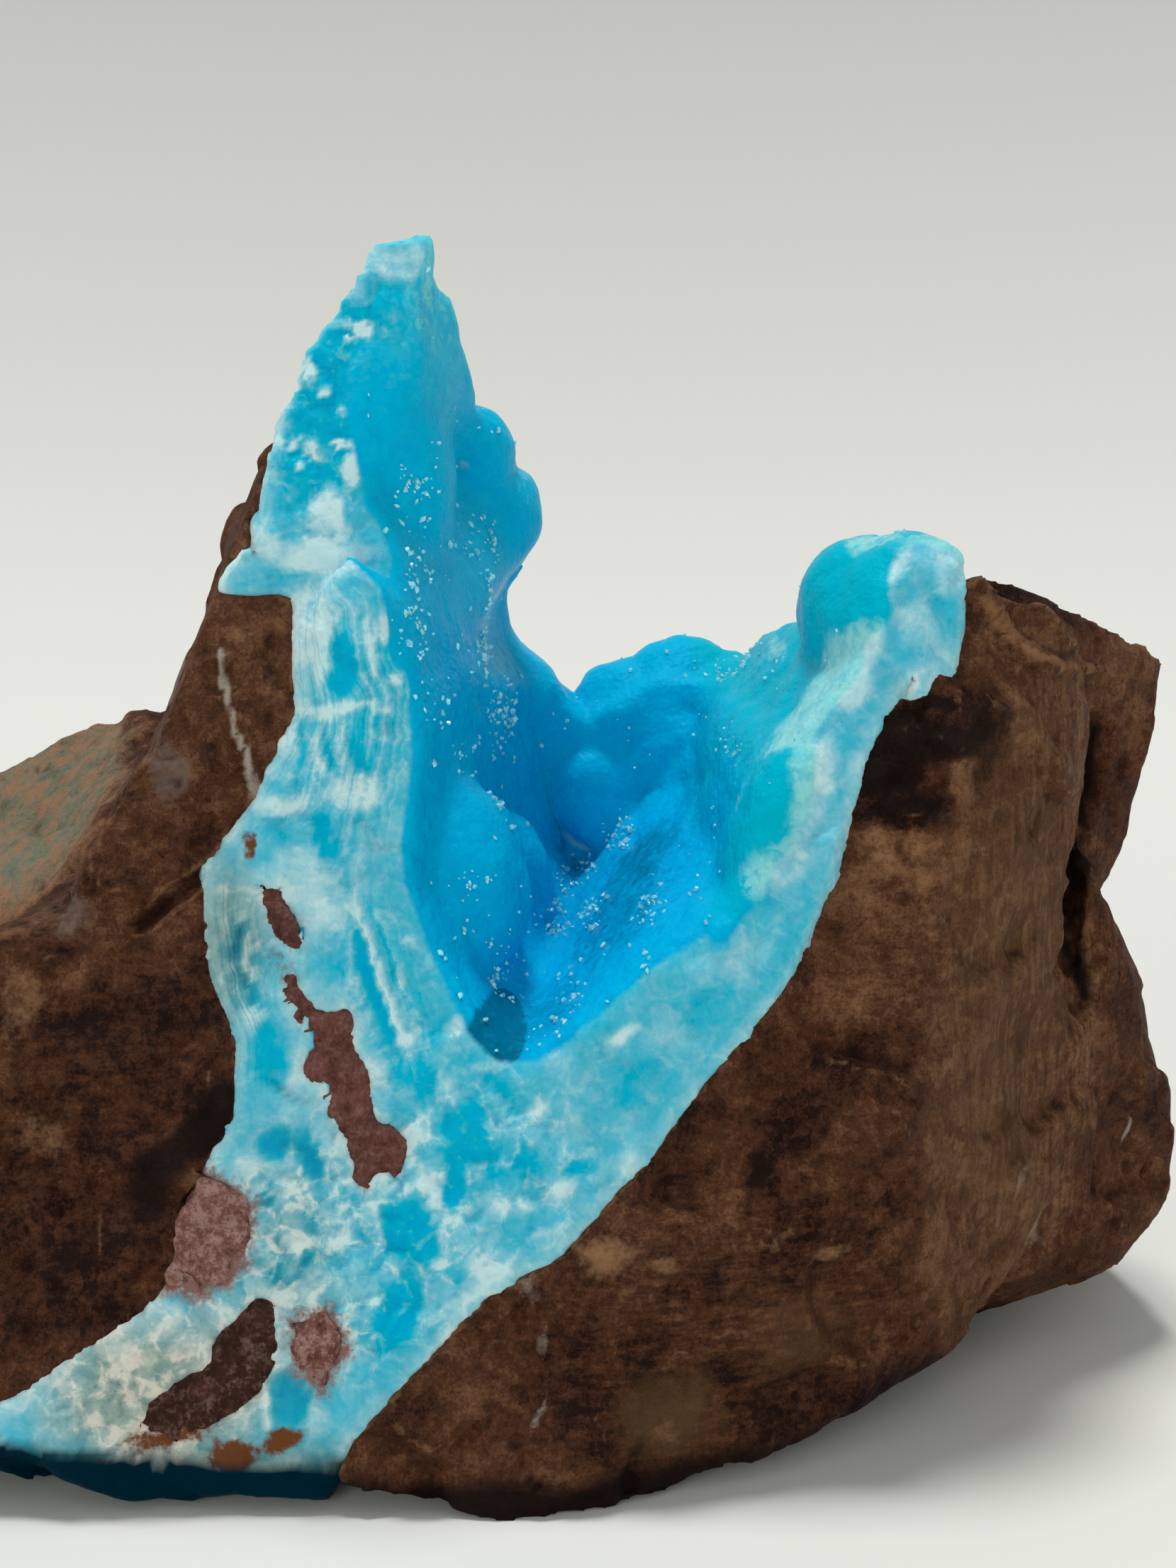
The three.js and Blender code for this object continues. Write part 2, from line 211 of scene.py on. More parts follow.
def linked(name, data):
    """A new object in the scene's collection."""
    piece = bpy.data.objects.new(name, data)
    bpy.context.scene.collection.objects.link(piece)
    return piece


def solid_of(node):
    """A node's solid."""
    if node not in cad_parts:
        raise ValueError("the frame has no node " + node)
    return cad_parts[node].data


def mesh_of(bm, name):
    """A new mesh from a bmesh, which is freed."""
    mesh = bpy.data.meshes.new(name)
    bm.to_mesh(mesh)
    bm.free()
    return mesh


def fine_copy(node, name, fineness):
    """A closed copy of a node's solid, divided evenly into faces about fineness across."""
    bm = bmesh.new()
    bm.from_mesh(solid_of(node))
    bmesh.ops.remove_doubles(bm, verts=bm.verts, dist=1e-6)
    rough = linked(name + "_rough", mesh_of(bm, name))
    remesh = rough.modifiers.new("even", "REMESH")
    remesh.mode = "VOXEL"
    remesh.voxel_size = fineness
    even = bpy.data.meshes.new_from_object(rough.evaluated_get(bpy.context.evaluated_depsgraph_get()))
    bpy.data.objects.remove(rough)
    if not even.polygons:
        raise RuntimeError("no fine copy of " + node + " could be made")
    even.name = name
    even.materials.clear()
    return linked(name, even)


class Surface:
    """A piece's points and normals in millimetres, which can be smoothed, moved and marked."""

    def __init__(self, piece):
        self.mesh = piece.data
        self.points = np.empty(len(self.mesh.vertices) * 3)
        self.mesh.vertices.foreach_get("co", self.points)
        self.points = self.points.reshape(-1, 3) / MM
        edges = np.empty(len(self.mesh.edges) * 2, np.int32)
        self.mesh.edges.foreach_get("vertices", edges)
        self.start, self.end = edges.reshape(-1, 2).T
        count = len(self.points)
        self.reach = np.bincount(self.start, minlength=count) + np.bincount(self.end, minlength=count)
        self.refresh()

    def refresh(self):
        """Writes the points to the mesh and reads its normals again."""
        self.mesh.vertices.foreach_set("co", (self.points * MM).ravel())
        self.mesh.update()
        normals = np.empty(len(self.points) * 3)
        self.mesh.vertex_normals.foreach_get("vector", normals)
        self.normals = normals.reshape(-1, 3)

    def average(self, values):
        """The mean of each point's neighbours."""
        columns = values.reshape(len(values), -1).T
        sums = [
            np.bincount(self.start, column[self.end], len(values))
            + np.bincount(self.end, column[self.start], len(values))
            for column in columns
        ]
        return (np.stack(sums, axis=1) / self.reach[:, None]).reshape(values.shape)

    def softened(self, values, rounds):
        """Values spread out over the surface."""
        for _ in range(rounds):
            values = (values + self.average(values)) / 2
        return values

    def smooth(self, rounds, share=0.5):
        """Relaxes the surface: share is how far each point goes in a round, as one number or one a point."""
        weight = np.broadcast_to(share, len(self.points))[:, None]
        for _ in range(rounds):
            self.points += (self.average(self.points) - self.points) * weight
        self.refresh()

    def raise_by(self, height):
        """Moves each point out along its normal."""
        self.points += self.normals * height[:, None]
        self.refresh()

    def press_into(self, tree, reach, depth, ragged=0.0):
        """Draws the points near another piece towards it and into it, so that no gap shows. Returns how
        near each point was, from 0 at reach to 1 at the piece."""
        depths = depth * (1 + ragged * swell(self.points, 1.3, 33))
        nearness = np.zeros(len(self.points))
        for index, point in enumerate(self.points):
            place, _, _, away = tree.find_nearest(Vector(point), reach)
            if place is None or away < 1e-4:
                continue
            nearness[index] = 1 - away / reach
            self.points[index] += (np.array(place) - point) / away * depths[index] * nearness[index]
        self.refresh()
        return nearness

    def hold_within(self, low, high):
        """Keeps the surface inside a box."""
        self.points = np.clip(self.points, np.array(low) / MM, np.array(high) / MM)
        self.refresh()

    def relief(self, rounds):
        """How far each point stands below its surroundings: above 0 in a hollow and below 0 on a ridge."""
        level = self.softened(self.points, rounds)
        return ((level - self.points) * self.normals).sum(axis=1)

    def mark(self, name, values):
        """Keeps a number for each point, for the finish to read."""
        layer = self.mesh.attributes.new(name, "FLOAT", "POINT")
        layer.data.foreach_set("value", np.broadcast_to(values, len(self.points)).astype(np.float32))


def tree_of(node):
    """A search tree over a node's solid, in millimetres."""
    mesh = solid_of(node)
    places = [vertex.co / MM for vertex in mesh.vertices]
    return BVHTree.FromPolygons(places, [tuple(face.vertices) for face in mesh.polygons])


def distances(points, tree, farthest):
    """The distance from each point to a tree's surface, up to farthest."""
    found = (tree.find_nearest(Vector(point), farthest)[3] for point in points)
    return np.array([farthest if away is None else away for away in found])


def distances_to(points, places):
    """The distance from each point to the nearest of some places."""
    tree = KDTree(len(places))
    for index, place in enumerate(places):
        tree.insert(place, index)
    tree.balance()
    return np.array([tree.find(point)[2] for point in points])


def settle(piece, slot, *nodes):
    """Says what a finished piece rides on and stands for. Its slot is not used."""
    piece.data.shade_smooth()
    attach(piece, BODY)
    if nodes:
        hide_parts(*nodes)


# ---- Settings ----------------------------------------------------------------------------------------


def length(name, description, default, least):
    """A length that a user may change, given in millimetres."""
    return FloatProperty(
        name=name, description=description, default=default * MM, min=least * MM, precision=4, unit="LENGTH"
    )


def shade(name, description, *levels):
    """A colour that a user may change, given as 0 to 255 in display values."""
    return FloatVectorProperty(
        name=name,
        description=description,
        default=tone(*levels),
        min=0.0,
        max=1.0,
        size=3,
        subtype="COLOR",
    )


class CrustSettings(bpy.types.PropertyGroup):
    """Sizes and colours of the blue growth."""

    fineness: length("Fineness", "Width of the faces that the growth is divided into", 0.42, 0.2)
    pale: shade("Pale growth", "Colour of the thin rims and of frosted growth", 110, 216, 226)
    clear: shade("Clear growth", "Colour of the open growth", 0, 186, 226)
    deep: shade("Deep growth", "Colour low in the hollow", 0, 168, 222)
    teal: shade("Teal growth", "Colour of the right wall", 0, 184, 206)
    white: shade("White bands", "Colour of the whitest bands of the broken face", 208, 238, 241)
    blue: shade("Blue bands", "Colour of the bluest bands of the broken face", 6, 186, 216)
    stain: shade("Stain", "Colour of the iron stains", 112, 68, 38)
    rose: shade("Rose", "Colour of the growth next to the pink bits", 142, 104, 98)
    frost: shade("Frost", "Colour of the frosted growth along the right rock", 150, 222, 224)


class RockSettings(bpy.types.PropertyGroup):
    """Sizes and colours of the wall rocks."""

    fineness: length("Fineness", "Width of the faces that the rocks are divided into", 0.42, 0.25)
    dark: shade("Dark rock", "Colour of fresh breaks", 42, 19, 11)
    middle: shade("Brown rock", "Colour of most of the rock", 102, 62, 41)
    light: shade("Light rock", "Colour of worn edges and pale grain", 168, 122, 86)
    olive: shade("Olive rock", "Colour of the olive faces", 118, 90, 58)
    lilac: shade("Weathered rock", "Colour of the weathered grey patches", 136, 116, 108)
    tan: shade("Tan patches", "Colour of the tan patches", 182, 138, 100)
    pale: shade("Pale flecks", "Colour of the pale flecks and veins", 196, 184, 170)


class ClastSettings(bpy.types.PropertyGroup):
    """Sizes and colours of the bits of rock in the growth."""

    fineness: length("Fineness", "Width of the faces that the bits are divided into", 0.2, 0.15)
    brown: shade("Brown bits", "Colour of the brown bits", 62, 36, 25)
    pink: shade("Pink bits", "Colour of the pink bits", 136, 86, 78)
    grain: shade("Pale grain", "Colour of the pale grains in the bits", 176, 146, 138)


class CrystalSettings(bpy.types.PropertyGroup):
    """Sizes of the tiny crystals on the open growth."""

    count: IntProperty(name="Count", description="How many tiny crystals there are", default=1000, min=1)
    narrowest: length("Narrowest", "Width of the smallest crystals", 0.12, 0.05)
    widest: length("Widest", "Width of the largest crystals", 0.36, 0.1)


class StageSettings(bpy.types.PropertyGroup):
    """The floor, the light and the view."""

    paper: shade("Floor", "Colour of the floor", 228, 229, 222)
    room: FloatProperty(name="Room", description="Strength of the light from all round", default=0.325, min=0)
    sky: FloatProperty(name="Sky", description="Strength of the wide light from above", default=2.12, min=0)
    front: FloatProperty(name="Front", description="The fill light's power", default=1.7, min=0, unit="POWER")
    lens: FloatProperty(name="Lens", description="Focal length", default=68.03, min=20, unit="CAMERA")


# ---- Finishes ----------------------------------------------------------------------------------------


class Finish:
    """A material and its node tree, with a short way to add each kind of node. Sizes are in mm."""

    def __init__(self, name):
        self.material = bpy.data.materials.new(name)
        self.material.use_nodes = True
        self.tree = self.material.node_tree
        self.tree.nodes.clear()
        place = self.make("ShaderNodeTexCoord").outputs["Object"]
        scaled = self.make("ShaderNodeVectorMath", {0: place, 1: (1 / MM,) * 3}, operation="MULTIPLY")
        self.place = scaled.outputs[0]

    def make(self, kind, inputs=None, **settings):
        """Adds a node. An input is a value, or the socket that feeds it."""
        made = self.tree.nodes.new(kind)
        for key, value in settings.items():
            setattr(made, key, value)
        for key, value in (inputs or {}).items():
            socket = made.inputs[key]
            if isinstance(value, bpy.types.NodeSocket):
                self.tree.links.new(value, socket)
            else:
                socket.default_value = _opaque(value) if socket.type == "RGBA" else value
        return made

    def spread(self, scale, lean):
        """The place, turned about Y and stretched: a scale under 1 draws a pattern out along that axis."""
        inputs = {"Vector": self.place, "Scale": scale, "Rotation": (0, lean, 0)}
        return self.make("ShaderNodeMapping", inputs).outputs[0]

    def stirred(self, size, amount):
        """The place moved about by noise, so that a pattern on it wavers."""
        inputs = {"Vector": self.place, "Scale": 1 / size, "Detail": 3.0}
        cloud = self.make("ShaderNodeTexNoise", inputs).outputs["Color"]
        middle = {0: cloud, 1: (0.5,) * 3}
        way = self.make("ShaderNodeVectorMath", middle, operation="SUBTRACT").outputs[0]
        moved = {0: way, 1: (amount,) * 3, 2: self.place}
        return self.make("ShaderNodeVectorMath", moved, operation="MULTIPLY_ADD").outputs[0]

    def noise(self, size, detail=3.0, roughness=0.55, place=None, distortion=0.0):
        """Cloudy noise from 0 to 1, with swells about size across."""
        inputs = {"Vector": place or self.place, "Scale": 1 / size, "Detail": detail}
        inputs.update({"Roughness": roughness, "Distortion": distortion})
        return self.make("ShaderNodeTexNoise", inputs).outputs["Fac"]

    def layers(self, value, size):
        """Uneven layers along a value, about size apart."""
        inputs = {"W": value, "Scale": 1 / size, "Detail": 3.0, "Roughness": 0.6}
        return self.make("ShaderNodeTexNoise", inputs, noise_dimensions="1D").outputs["Fac"]

    def cells(self, size, feature="F1", output="Distance", place=None):
        """A pattern of cells about size across."""
        inputs = {"Vector": place or self.place, "Scale": 1 / size}
        return self.make("ShaderNodeTexVoronoi", inputs, feature=feature).outputs[output]

    def mark(self, name):
        """A number kept on the piece's points."""
        return self.make("ShaderNodeAttribute", attribute_name=name).outputs["Fac"]

    def between(self, value, low, high, bottom=0.0, top=1.0):
        """A smooth rise from bottom to top as value goes from low to high."""
        inputs = {"Value": value, "From Min": low, "From Max": high, "To Min": bottom, "To Max": top}
        return self.make("ShaderNodeMapRange", inputs, interpolation_type="SMOOTHSTEP").outputs["Result"]

    def sum(self, a, b, share=1.0):
        """a plus a share of b."""
        return self.make("ShaderNodeMath", {0: b, 1: share, 2: a}, operation="MULTIPLY_ADD").outputs[0]

    def total(self, value, *others):
        """A value plus others, each given alone or as (value, share)."""
        for other in others:
            value = self.sum(value, *(other if isinstance(other, tuple) else (other,)))
        return value

    def times(self, a, b):
        """a times b."""
        return self.make("ShaderNodeMath", {0: a, 1: b}, operation="MULTIPLY").outputs[0]

    def even(self, value, share):
        """A value from 0 to 1 as one from minus half a share to half a share."""
        inputs = {0: value, 1: share, 2: -share / 2}
        return self.make("ShaderNodeMath", inputs, operation="MULTIPLY_ADD").outputs[0]

    def blend(self, share, a, b):
        """Colour a with colour b laid over it by a share."""
        return self.make("ShaderNodeMix", {0: share, 6: a, 7: b}, data_type="RGBA").outputs[2]

    def colours(self, value, stops):
        """A run of colours, as (place, colour) from low to high."""
        run = self.make("ShaderNodeValToRGB", {"Fac": value})
        elements = run.color_ramp.elements
        while len(elements) < len(stops):
            elements.new(1.0)
        for element, (place, colour) in zip(elements, stops, strict=True):
            element.position = place
            element.color = _opaque(colour)
        return run.outputs["Color"]

    def finished(self, colour, roughness, height, strength, reach=0.1, **fixed):
        """Joins colour, roughness and relief in the shader, and returns the material."""
        bump = self.make("ShaderNodeBump", {"Height": height, "Strength": strength, "Distance": reach * MM})
        inputs = {"Base Color": colour, "Roughness": roughness, "Normal": bump.outputs[0]}
        inputs.update({key.replace("_", " "): value for key, value in fixed.items()})
        shader = self.make("ShaderNodeBsdfPrincipled", inputs)
        self.make("ShaderNodeOutputMaterial", {"Surface": shader.outputs[0]})
        return self.material


def _opaque(colour):
    """A colour with its alpha."""
    return (*tuple(colour)[:3], 1.0)


def mixed(a, b, share):
    """A colour between two others."""
    return tuple(x + (y - x) * share for x, y in zip(a, b, strict=True))


def darker(colour, share):
    """A colour with a share of black in it."""
    return mixed(colour, (0, 0, 0), share)


# Tones that aren't settings: dull growth from dark to light, the painted glint of the crystals, and the two
# of the moss.
DULL_GROWTH = (
    (0.0, tone(44, 92, 100)),
    (0.45, tone(100, 140, 140)),
    (0.75, tone(162, 178, 168)),
    (1.0, tone(218, 213, 200)),
)
PAINTED_GLINT = tone(160, 238, 255)
MOSS = tone(130, 148, 126), tone(176, 138, 106)


def crust_finish(look):
    """Blue hemimorphite: clear and glossy where it grew freely, banded and clouded white where broken, with
    painted shade deep in the hollow and at its foot.
    """
    f = Finish("hemimorphite")
    wisp = f.noise(1.5, detail=6.0, roughness=0.65, distortion=0.6)
    fleck = f.noise(0.4, detail=4.0, roughness=0.65)
    wavering = f.stirred(1.1, 0.9)
    seams = f.between(f.cells(1.7, feature="DISTANCE_TO_EDGE", place=wavering), 0.2, 0.0)
    blocks = f.cells(1.7, output="Color", place=wavering)
    crumbs = f.cells(0.6, output="Color", place=f.stirred(0.5, 0.4))
    puffs = f.between(f.cells(2.3, place=f.stirred(1.4, 1.1)), 0.85, 0.1)
    crumbly = f.mark("crumbly")
    bands = f.layers(f.sum(f.mark("layer"), f.noise(2.4, detail=4.0, roughness=0.65), 1.6), 0.6)
    cloudy = f.total(
        f.times(f.mark("cloud"), 1.3),
        f.even(wisp, 0.6),
        f.times(f.even(puffs, 0.2), crumbly),
        -0.15,
        f.even(fleck, 0.25),
        f.times(f.even(bands, 1.3), f.mark("banded")),
        f.times(f.even(blocks, 0.45), crumbly),
        f.times(f.even(crumbs, 0.2), crumbly),
        f.times(f.times(seams, 0.5), f.times(crumbly, f.between(wisp, 0.42, 0.6))),
    )
    section = f.colours(
        cloudy,
        [
            (0.0, mixed(look.blue, look.deep, 0.6)),
            (0.3, look.blue),
            (0.5, mixed(look.blue, look.white, 0.14)),
            (0.72, mixed(look.blue, look.white, 0.42)),
            (1.0, mixed(look.blue, look.white, 0.95)),
        ],
    )
    dulled = f.blend(f.mark("grey"), section, f.colours(cloudy, DULL_GROWTH))
    stained = f.blend(f.between(f.sum(f.mark("stain"), fleck, 0.9), 0.65, 1.1), dulled, look.stain)
    rosy = f.blend(f.between(f.sum(f.mark("rosy"), fleck, 0.9), 0.7, 1.1), stained, look.rose)
    # Painted shade: the depth mark deepens the blue low in the hollow, in its hollows and pits and on two
    # facets.
    depth = f.total(f.mark("depth"), f.even(wisp, 0.25), f.even(fleck, 0.45), f.even(crumbs, 0.3))
    grown = f.colours(
        f.times(depth, 0.7),
        [
            (0.0, look.pale),
            (0.16, mixed(look.pale, look.clear, 0.85)),
            (0.3, look.clear),
            (0.68, look.deep),
            (1.0, darker(look.deep, 0.6)),
        ],
    )
    grown = f.blend(f.mark("teal"), grown, look.teal)
    frosted = f.total(f.mark("frost"), f.even(wisp, 0.7), f.even(crumbs, 0.3))
    frost = f.times(f.between(frosted, 0.3, 0.9), f.between(f.mark("frost"), 0.1, 0.4))
    grown = f.blend(frost, grown, look.frost)
    colour = f.blend(f.between(f.sum(f.mark("broken"), f.even(fleck, 0.3)), 0.3, 0.7), grown, rosy)
    # Painted shade: the foot mark turns the lowest front of the growth near black, for the shadow under it.
    colour = f.blend(f.mark("foot"), colour, darker(look.deep, 0.96))
    relief = f.total(
        f.times(f.cells(0.4), 0.4),
        (f.between(f.cells(1.0), 0.8, 0.1), 0.4),
        (f.noise(0.3, detail=4.0), 0.7),
        (f.times(f.sum(blocks, seams, 0.6), crumbly), 0.9),
    )
    relief = f.times(relief, f.between(f.mark("broken"), 0.0, 1.0, 0.8, 1.0))
    rough = f.sum(f.times(f.mark("broken"), 0.14), f.between(wisp, 0.35, 0.65, 0.2, 0.34))
    return f.finished(
        colour,
        rough,
        relief,
        0.6,
        reach=0.28,
        Subsurface_Weight=0.4,
        Subsurface_Radius=(0.15, 0.9, 1.1),
        Subsurface_Scale=1.3 * MM,
        IOR=1.4,
        Specular_IOR_Level=0.04,
        Specular_Tint=(0.1, 0.8, 1.0),
    )


def crystal_finish(look):
    """The tiny crystals: glassy and pale, the palest of them with a painted glint."""
    f = Finish("hemimorphite_crystals")
    each = f.noise(0.9, detail=2.0)
    colour = f.colours(
        f.between(each, 0.3, 0.7),
        [(0.0, mixed(look.clear, look.frost, 0.4)), (0.35, look.frost), (0.6, PAINTED_GLINT)],
    )
    return f.finished(
        colour,
        f.between(f.noise(0.5), 0.3, 0.7, 0.08, 0.2),
        f.noise(0.2),
        0.15,
        reach=0.03,
        IOR=1.61,
        Coat_Weight=0.6,
        Coat_Roughness=0.05,
    )


def rock_finish(name, look):
    """Dull brown wall rock: painted shade in its dips, clefts and recesses and at its foot, pale on its
    edges, with grain, pits and weathered patches.
    """
    f = Finish(name)
    broad = f.noise(4.5, detail=4.0, roughness=0.6)
    lumps = f.noise(1.7, detail=6.0, roughness=0.68)
    fine = f.noise(0.5, detail=5.0, roughness=0.72)
    grit = f.noise(0.16, detail=3.0)
    upright = f.noise(0.5, detail=6.0, roughness=0.65, place=f.spread((1, 1, 0.13), 0.05))
    level = f.noise(0.5, detail=6.0, roughness=0.65, place=f.spread((0.2, 0.35, 1.1), 0.22))
    splinters = f.cells(0.9, output="Color", place=f.stirred(0.8, 0.7))
    streaks = f.sum(
        f.times(f.mark("upright"), f.even(upright, 1.0)),
        f.times(f.mark("level"), f.even(level, 1.0)),
    )
    body = f.total(
        f.mark("tone"),
        f.even(broad, 0.85),
        f.even(lumps, 0.55),
        f.even(fine, 0.7),
        (streaks, 1.2),
        f.even(splinters, 0.22),
        f.even(grit, 0.5),
    )
    colour = f.colours(
        body,
        [(0.0, darker(look.dark, 0.5)), (0.22, look.dark), (0.55, look.middle), (1.0, look.light)],
    )
    colour = f.blend(f.mark("olive"), colour, look.olive)
    patchy = f.sum(f.even(lumps, 1.6), f.even(fine, 1.0))
    for mark, laid in (("lilac", look.lilac), ("tan", look.tan), ("pale", look.pale)):
        share = f.between(f.sum(f.mark(mark), patchy, 0.6), 0.3, 1.0)
        colour = f.blend(share, colour, laid)
    moss = f.blend(f.between(lumps, 0.42, 0.58), *MOSS)
    colour = f.blend(f.between(f.sum(f.mark("moss"), patchy, 0.5), 0.2, 0.8), colour, moss)
    worn = f.between(f.sum(f.mark("worn"), f.even(fine, 0.9)), 0.35, 1.0)
    colour = f.blend(f.times(worn, 0.8), colour, look.light)
    # Painted shade: darker in dips, clefts and recesses and at the foot.
    colour = f.blend(f.mark("dip"), colour, darker(look.dark, 0.6))
    pits = f.times(f.mark("pitted"), f.between(f.cells(0.9), 0.12, 0.36))
    relief = f.total(f.times(lumps, 0.8), fine, (streaks, 0.9), (splinters, 0.3), (grit, 0.25), (pits, 0.7))
    rough = f.between(lumps, 0.3, 0.7, 0.55, 0.8)
    return f.finished(colour, rough, relief, 1.0, reach=0.7, Specular_IOR_Level=0.12)


def clast_finish(name, look, plain, rosy, grains):
    """A bit of wall rock frozen into the growth, plain or rosy by its mark, with a share of pale grains."""
    f = Finish(name)
    mottle = f.noise(0.8, detail=5.0, roughness=0.72, place=f.stirred(0.6, 0.5))
    fine = f.noise(0.25, detail=4.0, roughness=0.7)
    grain = f.between(f.sum(mottle, fine, 0.6), 0.86 - 0.12 * grains, 1.0 - 0.12 * grains)
    body = f.sum(mottle, f.even(fine, 0.5))
    colours = (
        f.colours(body, [(0.3, darker(base, 0.6)), (0.5, base), (0.72, mixed(base, look.grain, 0.3))])
        for base in (plain, rosy)
    )
    colour = f.blend(f.times(grain, 0.85 * grains), f.blend(f.mark("rosy"), *colours), look.grain)
    rough = f.between(mottle, 0.3, 0.7, 0.5, 0.8)
    return f.finished(colour, rough, f.sum(mottle, fine, 0.5), 1.0, reach=0.4, Specular_IOR_Level=0.12)


# ---- The growth --------------------------------------------------------------------------------------

# The bits of rock in the growth: the slot of each, how ragged it is and how rosy, from 0 to 1.
CLASTS = {
    "small_clast": ("brown_clast", 0.6, 0.6),
    "seam_clast": ("brown_clast", 0.6, 0.8),
    "lens_clast": ("brown_clast", 0.2, 0.0),
    "pink_clast": ("pink_clast", 0.6, 0.5),
    "rosy_clast": ("pink_clast", 0.7, 0.1),
}

# The tables below hold marks as laid_over takes them: place, half width, half height, turn and value.

